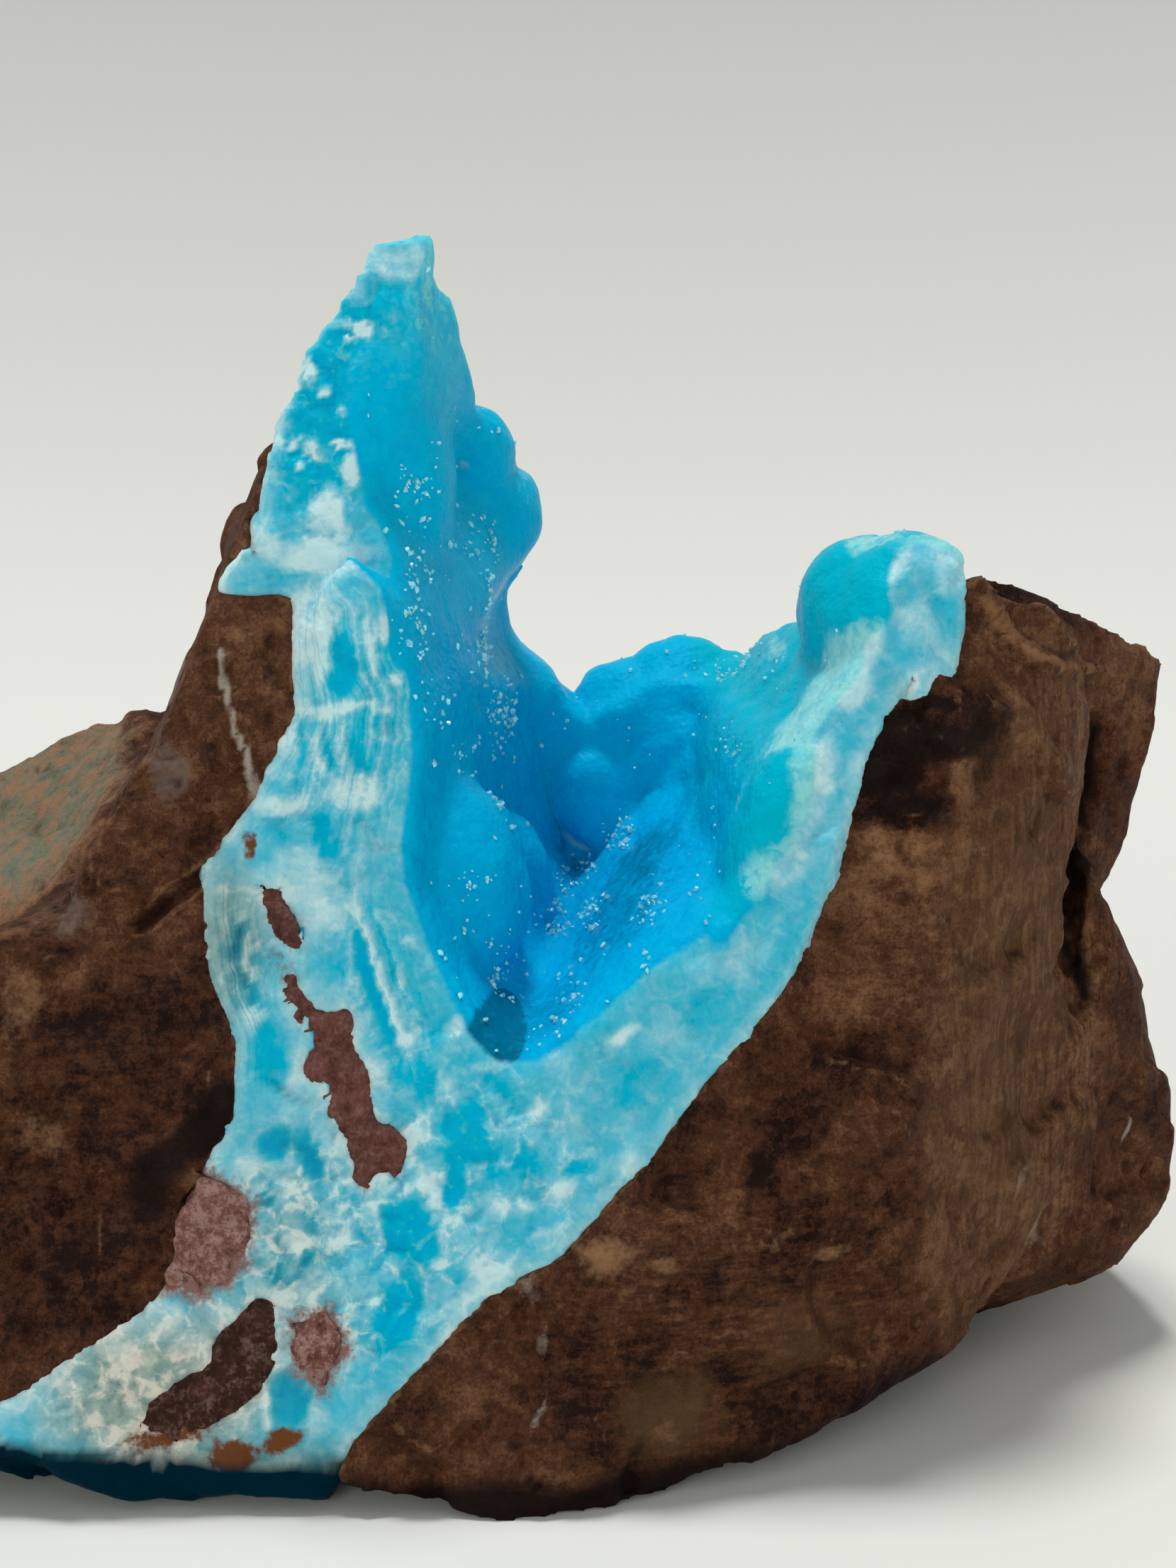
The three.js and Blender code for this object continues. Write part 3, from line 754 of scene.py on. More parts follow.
# Clouds and cracks of the broken front face: how white they are.
CLOUDS = [
    (-5, -8.5, 73, 0.9, 0.5, 0, 1), (-5, -9, 72, 0.7, 0.5, 0, 1), (-5.5, -8.5, 72.5, 2.2, 1.2, 0, 0.75),
    (-8.5, -9, 71, 1.7, 0.6, -40, 0.6), (-11, -10.5, 66, 0.5, 1, 30, 0.95),
    (-8.5, -10.5, 67.5, 0.6, 0.4, -35, 0.95), (-7.5, -10, 68, 0.4, 0.8, 20, 0.95),
    (-9, -10, 68.5, 1, 0.4, -10, 0.7), (-10, -11.5, 64.5, 0.4, 0.3, 0, 0.95),
    (-9, -11.5, 63.5, 0.3, 0.4, 0, 0.9), (-8, -12, 62.5, 0.4, 0.4, 0, 1),
    (-12, -12, 61.5, 0.3, 0.6, -20, 0.9), (-11, -12.5, 61, 0.4, 1, 35, 0.95),
    (-11.5, -12.5, 60, 0.3, 0.4, 0, 0.85), (-9, -12, 61.5, 1, 0.3, 10, 0.95),
    (-8, -12.5, 61, 0.2, 0.8, 0, 0.9), (-8.5, -12.5, 60, 0.7, 1.1, 10, 1),
    (-10, -13.5, 57.5, 1.3, 1.5, 10, 0.85), (-9, -14, 57, 0.5, 1.2, 10, 0.95),
    (-14, -13, 58.5, 0.6, 1.7, 0, 0.6), (-10.5, -14.5, 55, 3.2, 1.1, -5, 0.9),
    (-13.5, -14, 55.5, 1.3, 0.9, -20, 0.85), (-11, -14.5, 55, 0.8, 0.5, 0, 1),
    (-9.5, -14.5, 55, 0.6, 0.4, 0, 1), (-14.5, -15, 53, 1.7, 0.8, 0, 0.55),
    (-11.5, -16.5, 49, 0.3, 3.2, 0, 0.85), (-10, -17.5, 50, 0.4, 2.6, 4, 0.9),
    (-9.5, -18, 51, 0.3, 1.3, 4, 0.9), (-7, -18, 50, 0.3, 2.8, 4, 0.8), (-6, -17, 51, 0.7, 1, 10, 0.95),
    (-5.5, -17.5, 48, 0.4, 0.4, 0, 0.95), (-8.5, -18, 49, 0.8, 1.9, 3, 0.12),
    (-8.5, -18, 48, 0.9, 1.1, 0, 0.1), (-9.5, -18, 46, 2.1, 0.5, -3, 0.95),
    (-7, -18, 46, 1.1, 0.3, -3, 0.85), (-12, -18, 44, 0.9, 1.1, 0, 0.85),
    (-10, -18.5, 43.5, 0.4, 1.7, 6, 0.85), (-8.5, -18.5, 43.5, 0.4, 1.9, 4, 0.8),
    (-11, -18.5, 43.5, 0.3, 1.7, 5, 0.3), (-9.5, -18.5, 43.5, 0.3, 1.5, 5, 0.3),
    (-7.5, -18.5, 43.5, 0.4, 2.1, 3, 0.25), (-8, -19, 41, 1.8, 1.2, 0, 0.95),
    (-12.5, -19, 40.5, 1.6, 0.9, 0, 0.9), (-10, -19.5, 38.5, 0.5, 1.5, 12, 0.1),
    (-9, -20, 38, 0.3, 1.7, 8, 0.35), (-11, -20.5, 35.5, 1.6, 2.4, 25, 0.85),
    (-8, -21.5, 33, 1.1, 0.8, -10, 0.95), (-9, -21, 34.5, 0.9, 1.3, 30, 0.85),
    (-7, -22, 30.5, 0.4, 3.8, 24, 0.2), (-5.5, -23, 28, 0.3, 3.4, 22, 0.25),
    (-7.5, -22, 29.5, 0.3, 3.8, 22, 0.9), (-6, -22, 29.5, 0.3, 3.8, 22, 0.75),
    (-4.5, -23, 28, 0.3, 3.4, 20, 0.7), (-4.5, -21, 32.5, 0.7, 0.7, 0, 0.9),
    (-5, -23.5, 27, 0.6, 0.4, 0, 0.9), (-2, -23.5, 27.5, 0.6, 0.4, 0, 0.85),
    (-4, -24.5, 25, 0.7, 1.7, 10, 0.25), (-15.5, -20, 37, 1, 0.9, 0, 0.6),
    (-16, -21.5, 32.5, 0.3, 3, 0, 0.75), (-14.5, -21.5, 32.5, 0.3, 2.6, 15, 0.8),
    (-16, -20.5, 35.5, 0.6, 0.7, 0, 0.75), (-15, -21.5, 32.5, 0.3, 1.1, 10, 0.1),
    (-14, -22.5, 29.5, 0.3, 1.2, 30, 0.1), (-14.5, -22.5, 30.5, 0.3, 1.1, 30, 0.2),
    (-14, -23, 28, 1.1, 0.9, 0, 0.85), (-13, -23.5, 26, 1.1, 1.8, 8, 0.3),
    (-15.5, -24, 25.5, 0.4, 2.6, 0, 0.7), (-12, -24.5, 22.5, 0.7, 0.8, 0, 0.75),
    (-12.5, -25, 21, 1.1, 1, 10, 0.08), (-10.5, -25.5, 20, 0.7, 1.9, 18, 0.05),
    (-14, -25.5, 19.5, 1.3, 0.8, 0, 0.85), (-14, -26, 18, 1.4, 0.9, -10, 0.9),
    (-12, -26, 18.5, 0.8, 0.7, 0, 0.8), (-13.5, -27, 15, 1.1, 0.8, 0, 0.6),
    (-11, -27, 15.5, 1.1, 1.3, 0, 0.9), (-15, -27, 16, 0.9, 1, 0, 0.8), (-10, -28, 13.5, 0.8, 0.8, 0, 0.85),
    (-12, -28, 12.5, 1.3, 1.1, 0, 0.85), (-14, -28.5, 11, 1.1, 0.8, 0, 0.8),
    (-10.5, -28.5, 10.5, 1, 1.3, 0, 0.75), (-12.5, -27.5, 14, 0.6, 0.5, 0, 0.3),
    (-10.5, -27.5, 15, 0.5, 0.6, 0, 0.35), (-13.5, -26.5, 17.5, 0.5, 0.4, 0, 0.4),
    (-3.5, -26, 19, 0.5, 2.5, 30, 0.95), (-4.5, -25.5, 21, 0.6, 1.1, -10, 0.95),
    (-2.5, -26.5, 18, 1.7, 0.5, -20, 0.9), (-1, -25, 21.5, 1.8, 1.8, 0, 0.14),
    (-2, -26, 19, 0.8, 1.5, -10, 0.12), (1.5, -26, 20, 1.4, 1.4, 0, 0.35),
    (-2.5, -24.5, 24.5, 1.1, 0.8, -10, 0.9), (0.5, -24, 25.5, 1.7, 0.6, 5, 0.8),
    (3, -24.5, 23, 0.9, 0.7, 0, 0.95), (2.5, -26, 19, 2.1, 1.4, 0, 0.45),
    (5.5, -25.5, 19.5, 0.9, 0.9, 0, 0.2), (7, -24.5, 23, 1.7, 1.7, 0, 0.5),
    (4.5, -26, 18, 1.4, 0.7, 0, 0.9), (8.5, -25.5, 20, 1.3, 1, 20, 0.85),
    (1.5, -26.5, 17.5, 2.1, 0.7, -10, 0.8), (-4.5, -27, 16, 1.7, 1.8, -15, 0.08),
    (-5.5, -28.5, 11.5, 1.3, 2.4, -12, 0.08), (-3, -27.5, 14.5, 0.7, 0.5, 0, 0.95),
    (0, -27.5, 14, 1.9, 1.3, 30, 0.85), (-1.5, -28.5, 12, 2.1, 1, 35, 0.75),
    (-8.5, -29, 9.5, 0.8, 1.7, 0, 0.75), (-6.5, -29.5, 7.5, 1.4, 1.7, 20, 0.5),
    (-11.5, -30, 7, 1.2, 1.3, 0, 0.15), (-13, -30, 6.5, 0.4, 1.4, 10, 0.95),
    (-10, -30, 6, 0.8, 1.7, 10, 0.8), (-19, -31, 3, 2.5, 0.5, -8, 0.85), (-12, -31, 3, 2.5, 0.6, 0, 0.8),
    (-24, -30, 7.5, 1.7, 1.1, 20, 0.75), (-21, -29.5, 10, 2.1, 1.7, 30, 0.9),
    (-18.5, -29, 11.5, 0.8, 0.9, 0, 0.95), (-20.5, -30, 7, 1.7, 1.1, 30, 0.7),
    (20, -18.5, 42, 0.9, 3, -10, 0.8), (18, -20, 37.5, 1.5, 2.1, -20, 0.75),
    (15, -22, 31.5, 2.6, 1.7, 40, 0.7), (11, -23.5, 27, 2.6, 1.7, 40, 0.65),
    (22, -17, 47, 1.7, 1.3, 30, 0.8), (26, -16, 51, 1.5, 1.7, 30, 0.7), (28.5, -14, 54, 1.5, 1.3, 0, 0.75),
    (24.5, -8.5, 55, 2.2, 0.7, 5, 0.6), (13.5, -23, 29, 1.7, 1, 40, 0.4), (9, -24, 24.5, 1.7, 1, 40, 0.35),
    (8, -23, 27.5, 1.3, 0.6, 18, 1), (19, -18.5, 42.5, 1.1, 1.1, 0, 1),
]

# Where the broken face is paler as a whole, under the clouds: how white it is.
VEILS = [
    (-11, -27, 14, 6, 9, 10, 0.66),
    (2, -26, 19.5, 11, 4.5, 20, 0.62),
    (-20, -30, 7, 8, 5, 20, 0.72),
    (-9, -10, 65, 8, 11, 0, 0.22),
    (-10, -14, 55, 5, 2, 0, 0.4),
]

# Where layers show in the broken face: how strongly.
LAYERED = [
    (-9, -18, 46, 6.5, 9.5, 0, 0.68),
    (-6.5, -22, 30, 2.6, 8, 20, 0.9),
    (-15, -22, 30, 2.2, 7, 8, 0.6),
    (-9.5, -10, 66, 3.5, 5, -15, 0.25),
]

# Where rounded growth was broken off flat with the front face: how much of it.
BROKEN_FLAT = [(27.6, -15.5, 51.0, 3.6, 6.4, -24, 0.9), (22.5, -17.5, 44.0, 2.6, 4.0, -30, 0.8)]

# Where the growth and both rocks are drawn aside together: how far to the right. The first is under the
# knob, and the others run down the right edge of the spire. The growth, and the rocks, have one of their own.
DRAWN_ASIDE = [
    (30.0, -15, 50.0, 5.0, 3.8, 0, -2.4),
    (-1.5, -6, 69.0, 3.0, 5.0, 15, -1.2),
    (1.5, 2, 57.5, 4.5, 4.0, 0, 0.4),
    (4.5, 7, 48.0, 5.5, 4.5, 0, -2.8),
]
GROWTH_DRAWN_ASIDE = [(-17.5, -10, 56.0, 2.4, 4.0, -15, 0.9)]
ROCKS_DRAWN_ASIDE = [(-14, 2, 60, 6, 12, 0, -1.0)]

# Where the front face is open growth after all, on the right side of the spire, by the knob and beside the
# hollow: how much.
GROWN_TOO = [
    (-5.6, -11, 61.0, 2.6, 6.6, 14, 1.0),
    (-3.4, -9, 67.0, 1.6, 4.0, 14, 1.0),
    (-5.0, -14, 52.0, 1.2, 4.0, 0, 1.0),
    (22.2, -14, 53.5, 2.6, 4.6, -10, 1.0),
    (16.5, -19, 38.0, 1.6, 6.5, -28, 1.0),
    (-0.3, -14, 33.0, 3.2, 4.5, 0, 1.0),
]

# How crumbly the broken face is, near 1 where it broke into little blocks, and what it is elsewhere.
CRUMBLY_ELSEWHERE = 0.12
CRUMBLY = [
    (-10, -11, 64, 6, 10, 0, 0.6),
    (-9, -18, 46, 6.5, 9.5, 0, 0.25),
    (-2, -26, 20, 10, 7, 0, 0.55),
    (-10, -28, 14, 11, 7, 0, 0.8),
    (-20, -30, 7, 7, 5, 0, 0.7),
]

# Iron stains of the broken face and its dull grey places: how strong they are.
STAINS = [
    (-14.0, -20, 38.0, 0.6, 1.2, 0, 0.75),
    (-15.0, -30, 3.6, 2.2, 1.5, 10, 0.9),
    (-11.8, -30, 4.8, 1.9, 0.9, 15, 0.8),
    (-19.0, -31, 4.6, 3.4, 0.8, 15, 0.7),
    (-23.5, -31, 3.0, 2.5, 0.6, 0, 0.6),
    (-12.5, -22, 31.0, 0.9, 3.0, 30, 0.35),
]
DULL = [
    (-15.5, -22, 33, 2.6, 5.5, 6, 0.75),
    (-11.5, -26, 20, 4.0, 3.5, 0, 0.25),
    (-13, -29, 10, 5.0, 5.5, 0, 0.35),
    (-20, -30, 7, 7, 6, 0, 0.95),
    (-13, -31, 2, 9, 3.0, 0, 0.9),
    (-12, -26.5, 15, 3.5, 4.0, 0, 0.45),
]

# Open growth: its hollows and the two dark facets at the bottom, which are painted shade, by their depth
# from 0 for a pale rim to about 1.4 for the deepest colour, and its frosted places by how frosted they are.
SHADED_HOLLOWS = [
    (4.5, 7, 32, 3, 3, 0, 1.0),
    (0.5, -20.5, 26.5, 2.3, 2.4, 0, 1.5),
    (-3.5, -10, 47.5, 4.2, 8.4, 0, 0.85),
    (3, -5, 29.5, 1.9, 1.9, 0, 1.0),
    (8, -12, 31.5, 5.5, 3.4, 28, 1.2),
    (9, -5, 34.5, 5.0, 3.4, 30, 1.3),
    (3.5, -19, 28, 3.0, 2.4, 30, 1.2),
]
SHADED_FACETS = [(0.3, -21, 26.6, 1.7, 1.5, -20, 1.5), (1.2, -21, 27.6, 1.1, 1.5, 10, 1.5)]
PALE_GROWTH = [
    (24, -9, 55, 2.7, 1.2, 0, 0.8),
    (19, -1, 46.5, 1.8, 1.2, 0, 0.7),
    (27.5, -15, 54.0, 3.0, 3.4, 0, 0.75),
    (2.0, 3, 58.5, 1.4, 4.5, 0, 0.45),
    (20, -19, 40.5, 2.1, 5.1, -12, 0.8),
    (17.5, -21, 36, 2.6, 2.6, -30, 0.75),
    (24, -16.5, 49, 2.6, 2.6, -30, 0.8),
    (7.5, -23.5, 27.5, 1.7, 0.9, 0, 0.9),
]

# The rounded lumps of the open growth, from broad to fine: size, height and seed.
DOMES = ((5.5, 0.5, 1), (2.4, 0.3, 5), (1.1, 0.12, 9))

# How far the growth's foot at the front comes down towards the floor.
FOOT_LOWERED = 2.0


def facing_front(surface):
    """1 on the broken front face and 0 elsewhere."""
    outwards = np.array([0, -1, FRONT_LEAN]) / math.hypot(1, FRONT_LEAN)
    return ramp(surface.normals @ outwards, 0.5, 0.8) * ramp(behind_face(surface.points), 4.5, 2.5)


def draw_aside(surface, own):
    """Draws the surface aside by the shared marks, so that no gap opens between pieces, and by its own."""
    still = np.zeros(len(surface.points))
    marks = DRAWN_ASIDE + own
    moves = [laid_over(surface.points, still, [mark], reach=25, edge=0.25) for mark in marks]
    surface.points[:, 0] += sum(moves)
    surface.refresh()


def open_growth(surface):
    """1 where the growth faces the open hollow, 0 on every broken or hidden side."""
    _, y, z = surface.points.T
    middle = np.stack([2 + 0.28 * (z - 25), np.clip(y, -14, 0), z + 12], axis=1)
    way = middle - surface.points
    facing = (surface.normals * way).sum(axis=1) / np.linalg.norm(way, axis=1)
    inside = ramp(facing, -0.15, 0.2) * (1 - facing_front(surface)) * ramp(z, 20, 24)
    wavering = stirred(surface.points, 1.6, 0.5, 81)
    return np.maximum(inside, laid_over(wavering, 0 * z, GROWN_TOO, edge=0.85))


def fit_growth(surface, rocks):
    """Smooths the growth and fits it to its neighbours. Returns how near each bit of rock is."""
    grown = open_growth(surface)
    surface.smooth(10, share=0.25)
    surface.smooth(30, share=0.5 * grown * (1 - 0.8 * ramp(surface.points[:, 1], 1, 8)))
    for rock in rocks:
        surface.press_into(rock, reach=1.5, depth=0.8, ragged=0.1)
    near = {}
    for name in CLASTS:
        near[name] = surface.press_into(tree_of(name), reach=1.8, depth=0.85, ragged=0.7)
    draw_aside(surface, GROWTH_DRAWN_ASIDE)
    return near


def break_flat(surface):
    """Brings rounded growth to the front face where it broke off flat, and the front foot to the floor."""
    p = surface.points
    flat = laid_over(p, np.zeros(len(p)), BROKEN_FLAT, reach=4, edge=0.6)
    flat *= ramp(surface.normals[:, 1], 0.3, -0.2)
    p[:, 1] -= 0.9 * flat * (behind_face(p) - 0.2)
    surface.refresh()
    surface.smooth(4, share=0.4 * flat)
    lowered = ramp(p[:, 2], 5, 2.4) * ramp(p[:, 1], -14, -22)
    p[:, 2] -= FOOT_LOWERED * lowered * ramp(p[:, 2], 0.2, 2.2)
    surface.refresh()


def domed(p):
    """How far the lumps of the open growth stand out. They are lower on the spire."""
    total = sum(
        height * (1 - nearest(stirred(p, 3, 0.8, seed), size, seed) ** 2) for size, height, seed in DOMES
    )
    return total * (1 - 0.6 * ramp(p[:, 2], 42, 50) * ramp(p[:, 0], 8, 2))


def clouded(surface, wavering, contact, near):
    """How white the broken face is: whiter by the rocks and bits, then by its veils, clouds and cracks."""
    p = surface.points
    halo = np.max([near[name] for name in ("small_clast", "seam_clast", "lens_clast")], axis=0)
    cloud = 0.5 + 0.2 * rugged(p, 4, 51) + 0.2 * ramp(contact, 1.4, 0.3) + 0.45 * halo
    cloud = laid_over(wavering, cloud, VEILS, edge=0.1)
    cloud += 0.35 * ramp(surface.normals[:, 0], -0.05, -0.5) * ramp(p[:, 2], 44, 50)
    soft = [mark for mark in CLOUDS if mark[2] < 34 and mark[3] > 0.6 and mark[6] > 0.4]
    cloud = laid_over(wavering, cloud, soft, edge=0.0)
    cloud = laid_over(wavering, cloud, [mark for mark in CLOUDS if mark not in soft], edge=0.6)
    return 0.5 + 0.85 * (cloud - 0.5)


def split_rough(p, contact, crumbly):
    """How far the broken face stands out: in chips, finer where it is crumbly and lower by the rocks."""
    split = chips(p, 3.0, 31, tilt=0.1) + crumbly * chips(p, 1.5, 37, tilt=0.22) + 0.1 * rugged(p, 1.6, 41)
    return split * (0.25 + 0.75 * ramp(contact, 0.2, 1.6))


def shaded_depth(surface, p):
    """How deep the colour of the open growth is: deeper down the hollow, in its hollows and on two facets,
    all as painted shade, and paler up the spire and on ridges.
    """
    depth = 0.55 + 0.25 * ramp(p[:, 2], 50, 30) - 0.45 * ramp(p[:, 2], 62, 72)
    depth = depth - 0.25 * ramp(surface.relief(6), -0.05, -0.3)
    depth = surface.softened(laid_over(p, depth, SHADED_HOLLOWS, edge=0.2), 4)
    return laid_over(p, depth, SHADED_FACETS, edge=1.15)


def make_crust(look):
    """The whole blue growth, in place of its solid."""
    piece = fine_copy("hemimorphite_crust", "crust", look.fineness)
    surface = Surface(piece)
    rocks = [tree_of("left_wall_rock"), tree_of("right_wall_rock")]
    near = fit_growth(surface, rocks)
    break_flat(surface)
    grown = surface.softened(open_growth(surface), 2)
    p = surface.points
    domes = domed(p)
    left, right = (distances(p, rock, 30.0) for rock in rocks)
    contact = np.minimum(left, right)
    layer = contact / (contact + distances_to(p, p[grown > 0.9][::3]) + 0.5)
    wavering = stirred(stirred(p, 2.6, 0.5, 71), 0.9, 0.25, 75)
    nothing = np.zeros(len(p))
    banded = laid_over(p, nothing, LAYERED, edge=0.3)
    crumbly = laid_over(p, nothing + CRUMBLY_ELSEWHERE, CRUMBLY, edge=0.3)
    cloud = clouded(surface, wavering, contact, near)
    split = split_rough(p, contact, crumbly)
    split += 0.25 * (cloud - 0.5) + 0.1 * banded * np.sin(layer * 40 + 2 * swell(p, 2.5, 21))
    surface.raise_by(grown * domes + (1 - grown) * split)
    cloud -= 1.6 * crumbly * np.clip(surface.relief(3), -0.12, 0.12)
    surface.hold_within(*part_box("hemimorphite_crust"))
    # Painted shade: the lowest front of the growth, a little higher on the left, is darkened to near black
    # where the shadow under its lip falls.
    low = p[:, 2] + 0.3 * swell(p, 2.5, 95) - 0.1 * np.clip(-15 - p[:, 0], 0, 20)
    teal = ramp(p[:, 0] + 1.6 * swell(p, 5, 97), 12.5, 15.5) * ramp(p[:, 2] + swell(p, 4, 98), 32, 36)
    lobed = right + 1.3 * swell(p, 5, 97) + 0.5 * swell(p, 1.6, 98)
    frost = 0.8 * ramp(lobed, 5.2, 3.0) * ramp(behind_face(p), 7, 3)
    marks = {
        "broken": 1 - grown,
        "layer": layer * 12,
        "crumbly": crumbly,
        "rosy": np.maximum(near["pink_clast"], near["rosy_clast"]) * 0.9,
        # Painted shade: near black at the lowest front.
        "foot": ramp(low, 3.4, 2.7),
        "banded": banded,
        "cloud": cloud,
        "grey": surface.softened(laid_over(wavering, nothing, DULL, edge=0.4), 3),
        "stain": laid_over(wavering, nothing, STAINS, edge=0.3),
        # Painted shade: deeper blue low in the hollow, in its hollows and on two dark facets.
        "depth": shaded_depth(surface, p),
        "teal": 0.9 * teal,
        "frost": surface.softened(laid_over(wavering, frost, PALE_GROWTH, edge=0.3), 3),
    }
    for name, values in marks.items():
        surface.mark(name, values)
    piece.data.materials.append(crust_finish(look))
    settle(piece, "hemimorphite", "hemimorphite_crust")
    return piece


# Where tiny crystals stand close: place, half width and half height. ELSEWHERE is their chance outside.
SPARKLES = [
    (-4.5, -10, 58, 0.8, 2.2), (-4.5, -12.5, 52.5, 0.6, 2.2), (-1, -2, 53.5, 1.6, 2.3),
    (-0.5, -3, 48, 1.2, 2.3), (-3.5, -14, 46, 1.1, 1.7), (0, -1, 43, 0.9, 2.8), (-2, -9, 41.5, 1.4, 1.4),
    (-4, -10, 60.5, 1.1, 0.9), (3.5, -4, 29.5, 1.4, 0.9),
    (6, 4.5, 30, 2.2, 1.2), (8.5, 3, 33, 1, 1.2), (7, -7, 30.5, 2.1, 0.9), (10.5, -15, 32.5, 1.1, 0.7),
    (10, -20, 31, 0.9, 0.5), (5.5, -17.5, 28, 1.3, 0.9), (4, -21, 26.5, 1.3, 0.9), (16.5, 7, 43.5, 1.5, 1.5),
    (18, 7.5, 45.5, 1.2, 0.7), (15.5, -7.5, 42, 0.9, 0.7), (8.5, 7, 40, 0.6, 0.5), (0.5, -10, 38, 0.8, 1.1),
    (-0.5, -16, 34.5, 1.1, 1.1), (0.5, -14, 28, 1.3, 1.3), (-2, -16.5, 32, 0.7, 0.7),
    (0.5, -15, 31, 0.5, 0.5), (4.5, 6.5, 41, 0.7, 0.7), (-4.5, -15, 50, 0.5, 1.3),
]
ELSEWHERE = 0.012


# How far, at random, the crystals lean and how far aside of their places they stand.
CRYSTAL_LEAN = 0.28
CRYSTAL_ASIDE = 0.2


def add_crystal(bm, rng, look, point, normal):
    """One low four-sided prism set flat in the growth, a little tilted. Lengths here are in metres."""
    wide = look.narrowest + (look.widest - look.narrowest) * rng.random() ** 2
    tall = wide * rng.uniform(0.5, 1.1)
    lean = (normal + Vector(rng.normal(0, CRYSTAL_LEAN, 3))).normalized()
    upright = lean.to_track_quat("Z", "Y").to_matrix().to_4x4()
    turned = upright @ Matrix.Rotation(rng.uniform(0, math.pi), 4, "Z")
    aside = Vector(rng.normal(0, CRYSTAL_ASIDE * MM, 3)).cross(normal)
    foot = Matrix.Translation(point + aside + lean * (tall * 0.5 - wide * 0.25))
    longer = Matrix.Diagonal((rng.uniform(1, 2.2), 1, 1, 1))
    bmesh.ops.create_cone(
        bm,
        cap_ends=True,
        segments=4,
        radius1=wide * 0.5,
        radius2=wide * rng.uniform(0.25, 0.4),
        depth=tall,
        matrix=foot @ turned @ longer,
    )


def make_crystals(look, crust_look):
    """The tiny crystals of the open growth, closest together in the places where they sparkle."""
    crust = bpy.data.objects.get("crust")
    if crust is None:
        raise RuntimeError("the crystals need the crust: make it first")
    surface = Surface(crust)
    p = surface.points
    broken = np.empty(len(p), np.float32)
    crust.data.attributes["broken"].data.foreach_get("value", broken)
    marks = [(x, y, z, wide + 0.3, high + 0.3, 0, 1.0) for x, y, z, wide, high in SPARKLES]
    chance = laid_over(p, np.full(len(p), ELSEWHERE), marks, reach=1.5) * (broken < 0.3)
    chance *= 0.02 + ramp(swell(p, 1.4, 91), 0.05, 0.6) * ramp(swell(p, 0.6, 97), -0.3, 0.4)
    if not chance.any():
        raise RuntimeError("the crust has no open growth to set crystals in")
    rng = np.random.default_rng(7)
    most = min(look.count, int((chance > 0).sum()))
    bm = bmesh.new()
    for index in rng.choice(len(p), size=most, replace=False, p=chance / chance.sum()):
        add_crystal(bm, rng, look, Vector(p[index]) * MM, Vector(surface.normals[index]))
    piece = linked("hollow_crystals", mesh_of(bm, "hollow_crystals"))
    piece.data.materials.append(crystal_finish(crust_look))
    settle(piece, "hemimorphite")
    piece.data.shade_flat()
    return piece


# ---- The wall rocks ----------------------------------------------------------------------------------

# Marks of each rock by kind, then its lines as paths of places with their half width: pale veins, clefts
# that sink in and are darkened as painted shade, and worn edges. Marks that darken recesses are painted
# shade.
LEFT_ROCK_MARKS = {
    "lilac": [
        (-20.5, -3, 45, 2.3, 5.6, 0, 0.9),
        (-19, -18.5, 42.5, 1.9, 2.6, 0, 0.75),
        (-25, -21, 34, 2.6, 2.6, 0, 0.65),
        (-30, -18, 30, 3, 3, 0, 0.5),
    ],
    "tan": [
        (-28, -23, 29, 1.7, 3.4, 0, 0.6),
        (-26.5, -25, 21.5, 2.1, 2.1, 0, 0.5),
        (-36, 23, 34, 2.7, 1.6, 0, 0.7),
        (-30, 19.5, 36.5, 2.6, 1.3, 0, 0.7),
        (-27.5, -17, 33, 1.7, 1.7, 0, 0.5),
    ],
    "moss": [(-36, 12, 33, 12, 7, 0, 0.85), (-30, 22, 30, 14, 10, 0, 0.6)],
    "pale": [(-34, 10.5, 30.5, 2, 2, 0, 0.5), (-20.5, -4, 47, 1.0, 3.0, 15, 0.4)],
    "tone": [
        (-22, -25, 20, 9, 10, 0, 0.36),
        (-24, -20, 34, 6, 5, 20, 0.5),
        (-17, -14, 46, 5, 7, 0, 0.55),
        (-36, 14, 32, 12, 8, 0, 0.8),
    ],
    "level": [(-24, -22, 26, 14, 22, 0, 0.35)],
    # Painted shade in the deep hollow beside the growth.
    "dip": [(-18.0, -25.5, 21.4, 1.4, 4.4, -42, 0.9)],
}
LEFT_ROCK_LINES = {
    "pale": (
        [(-17.5, -10.5, 51.5), (-16, -16.5, 49), (-15.5, -17.5, 46), (-14.5, -18.5, 43.5), (-14, -18, 41)],
        0.42,
    ),
    # A crack darkened with painted shade.
    "dip": ([(-17, -19.5, 36.5), (-19, -21, 35), (-21, -21.5, 33.5)], 0.4),
}
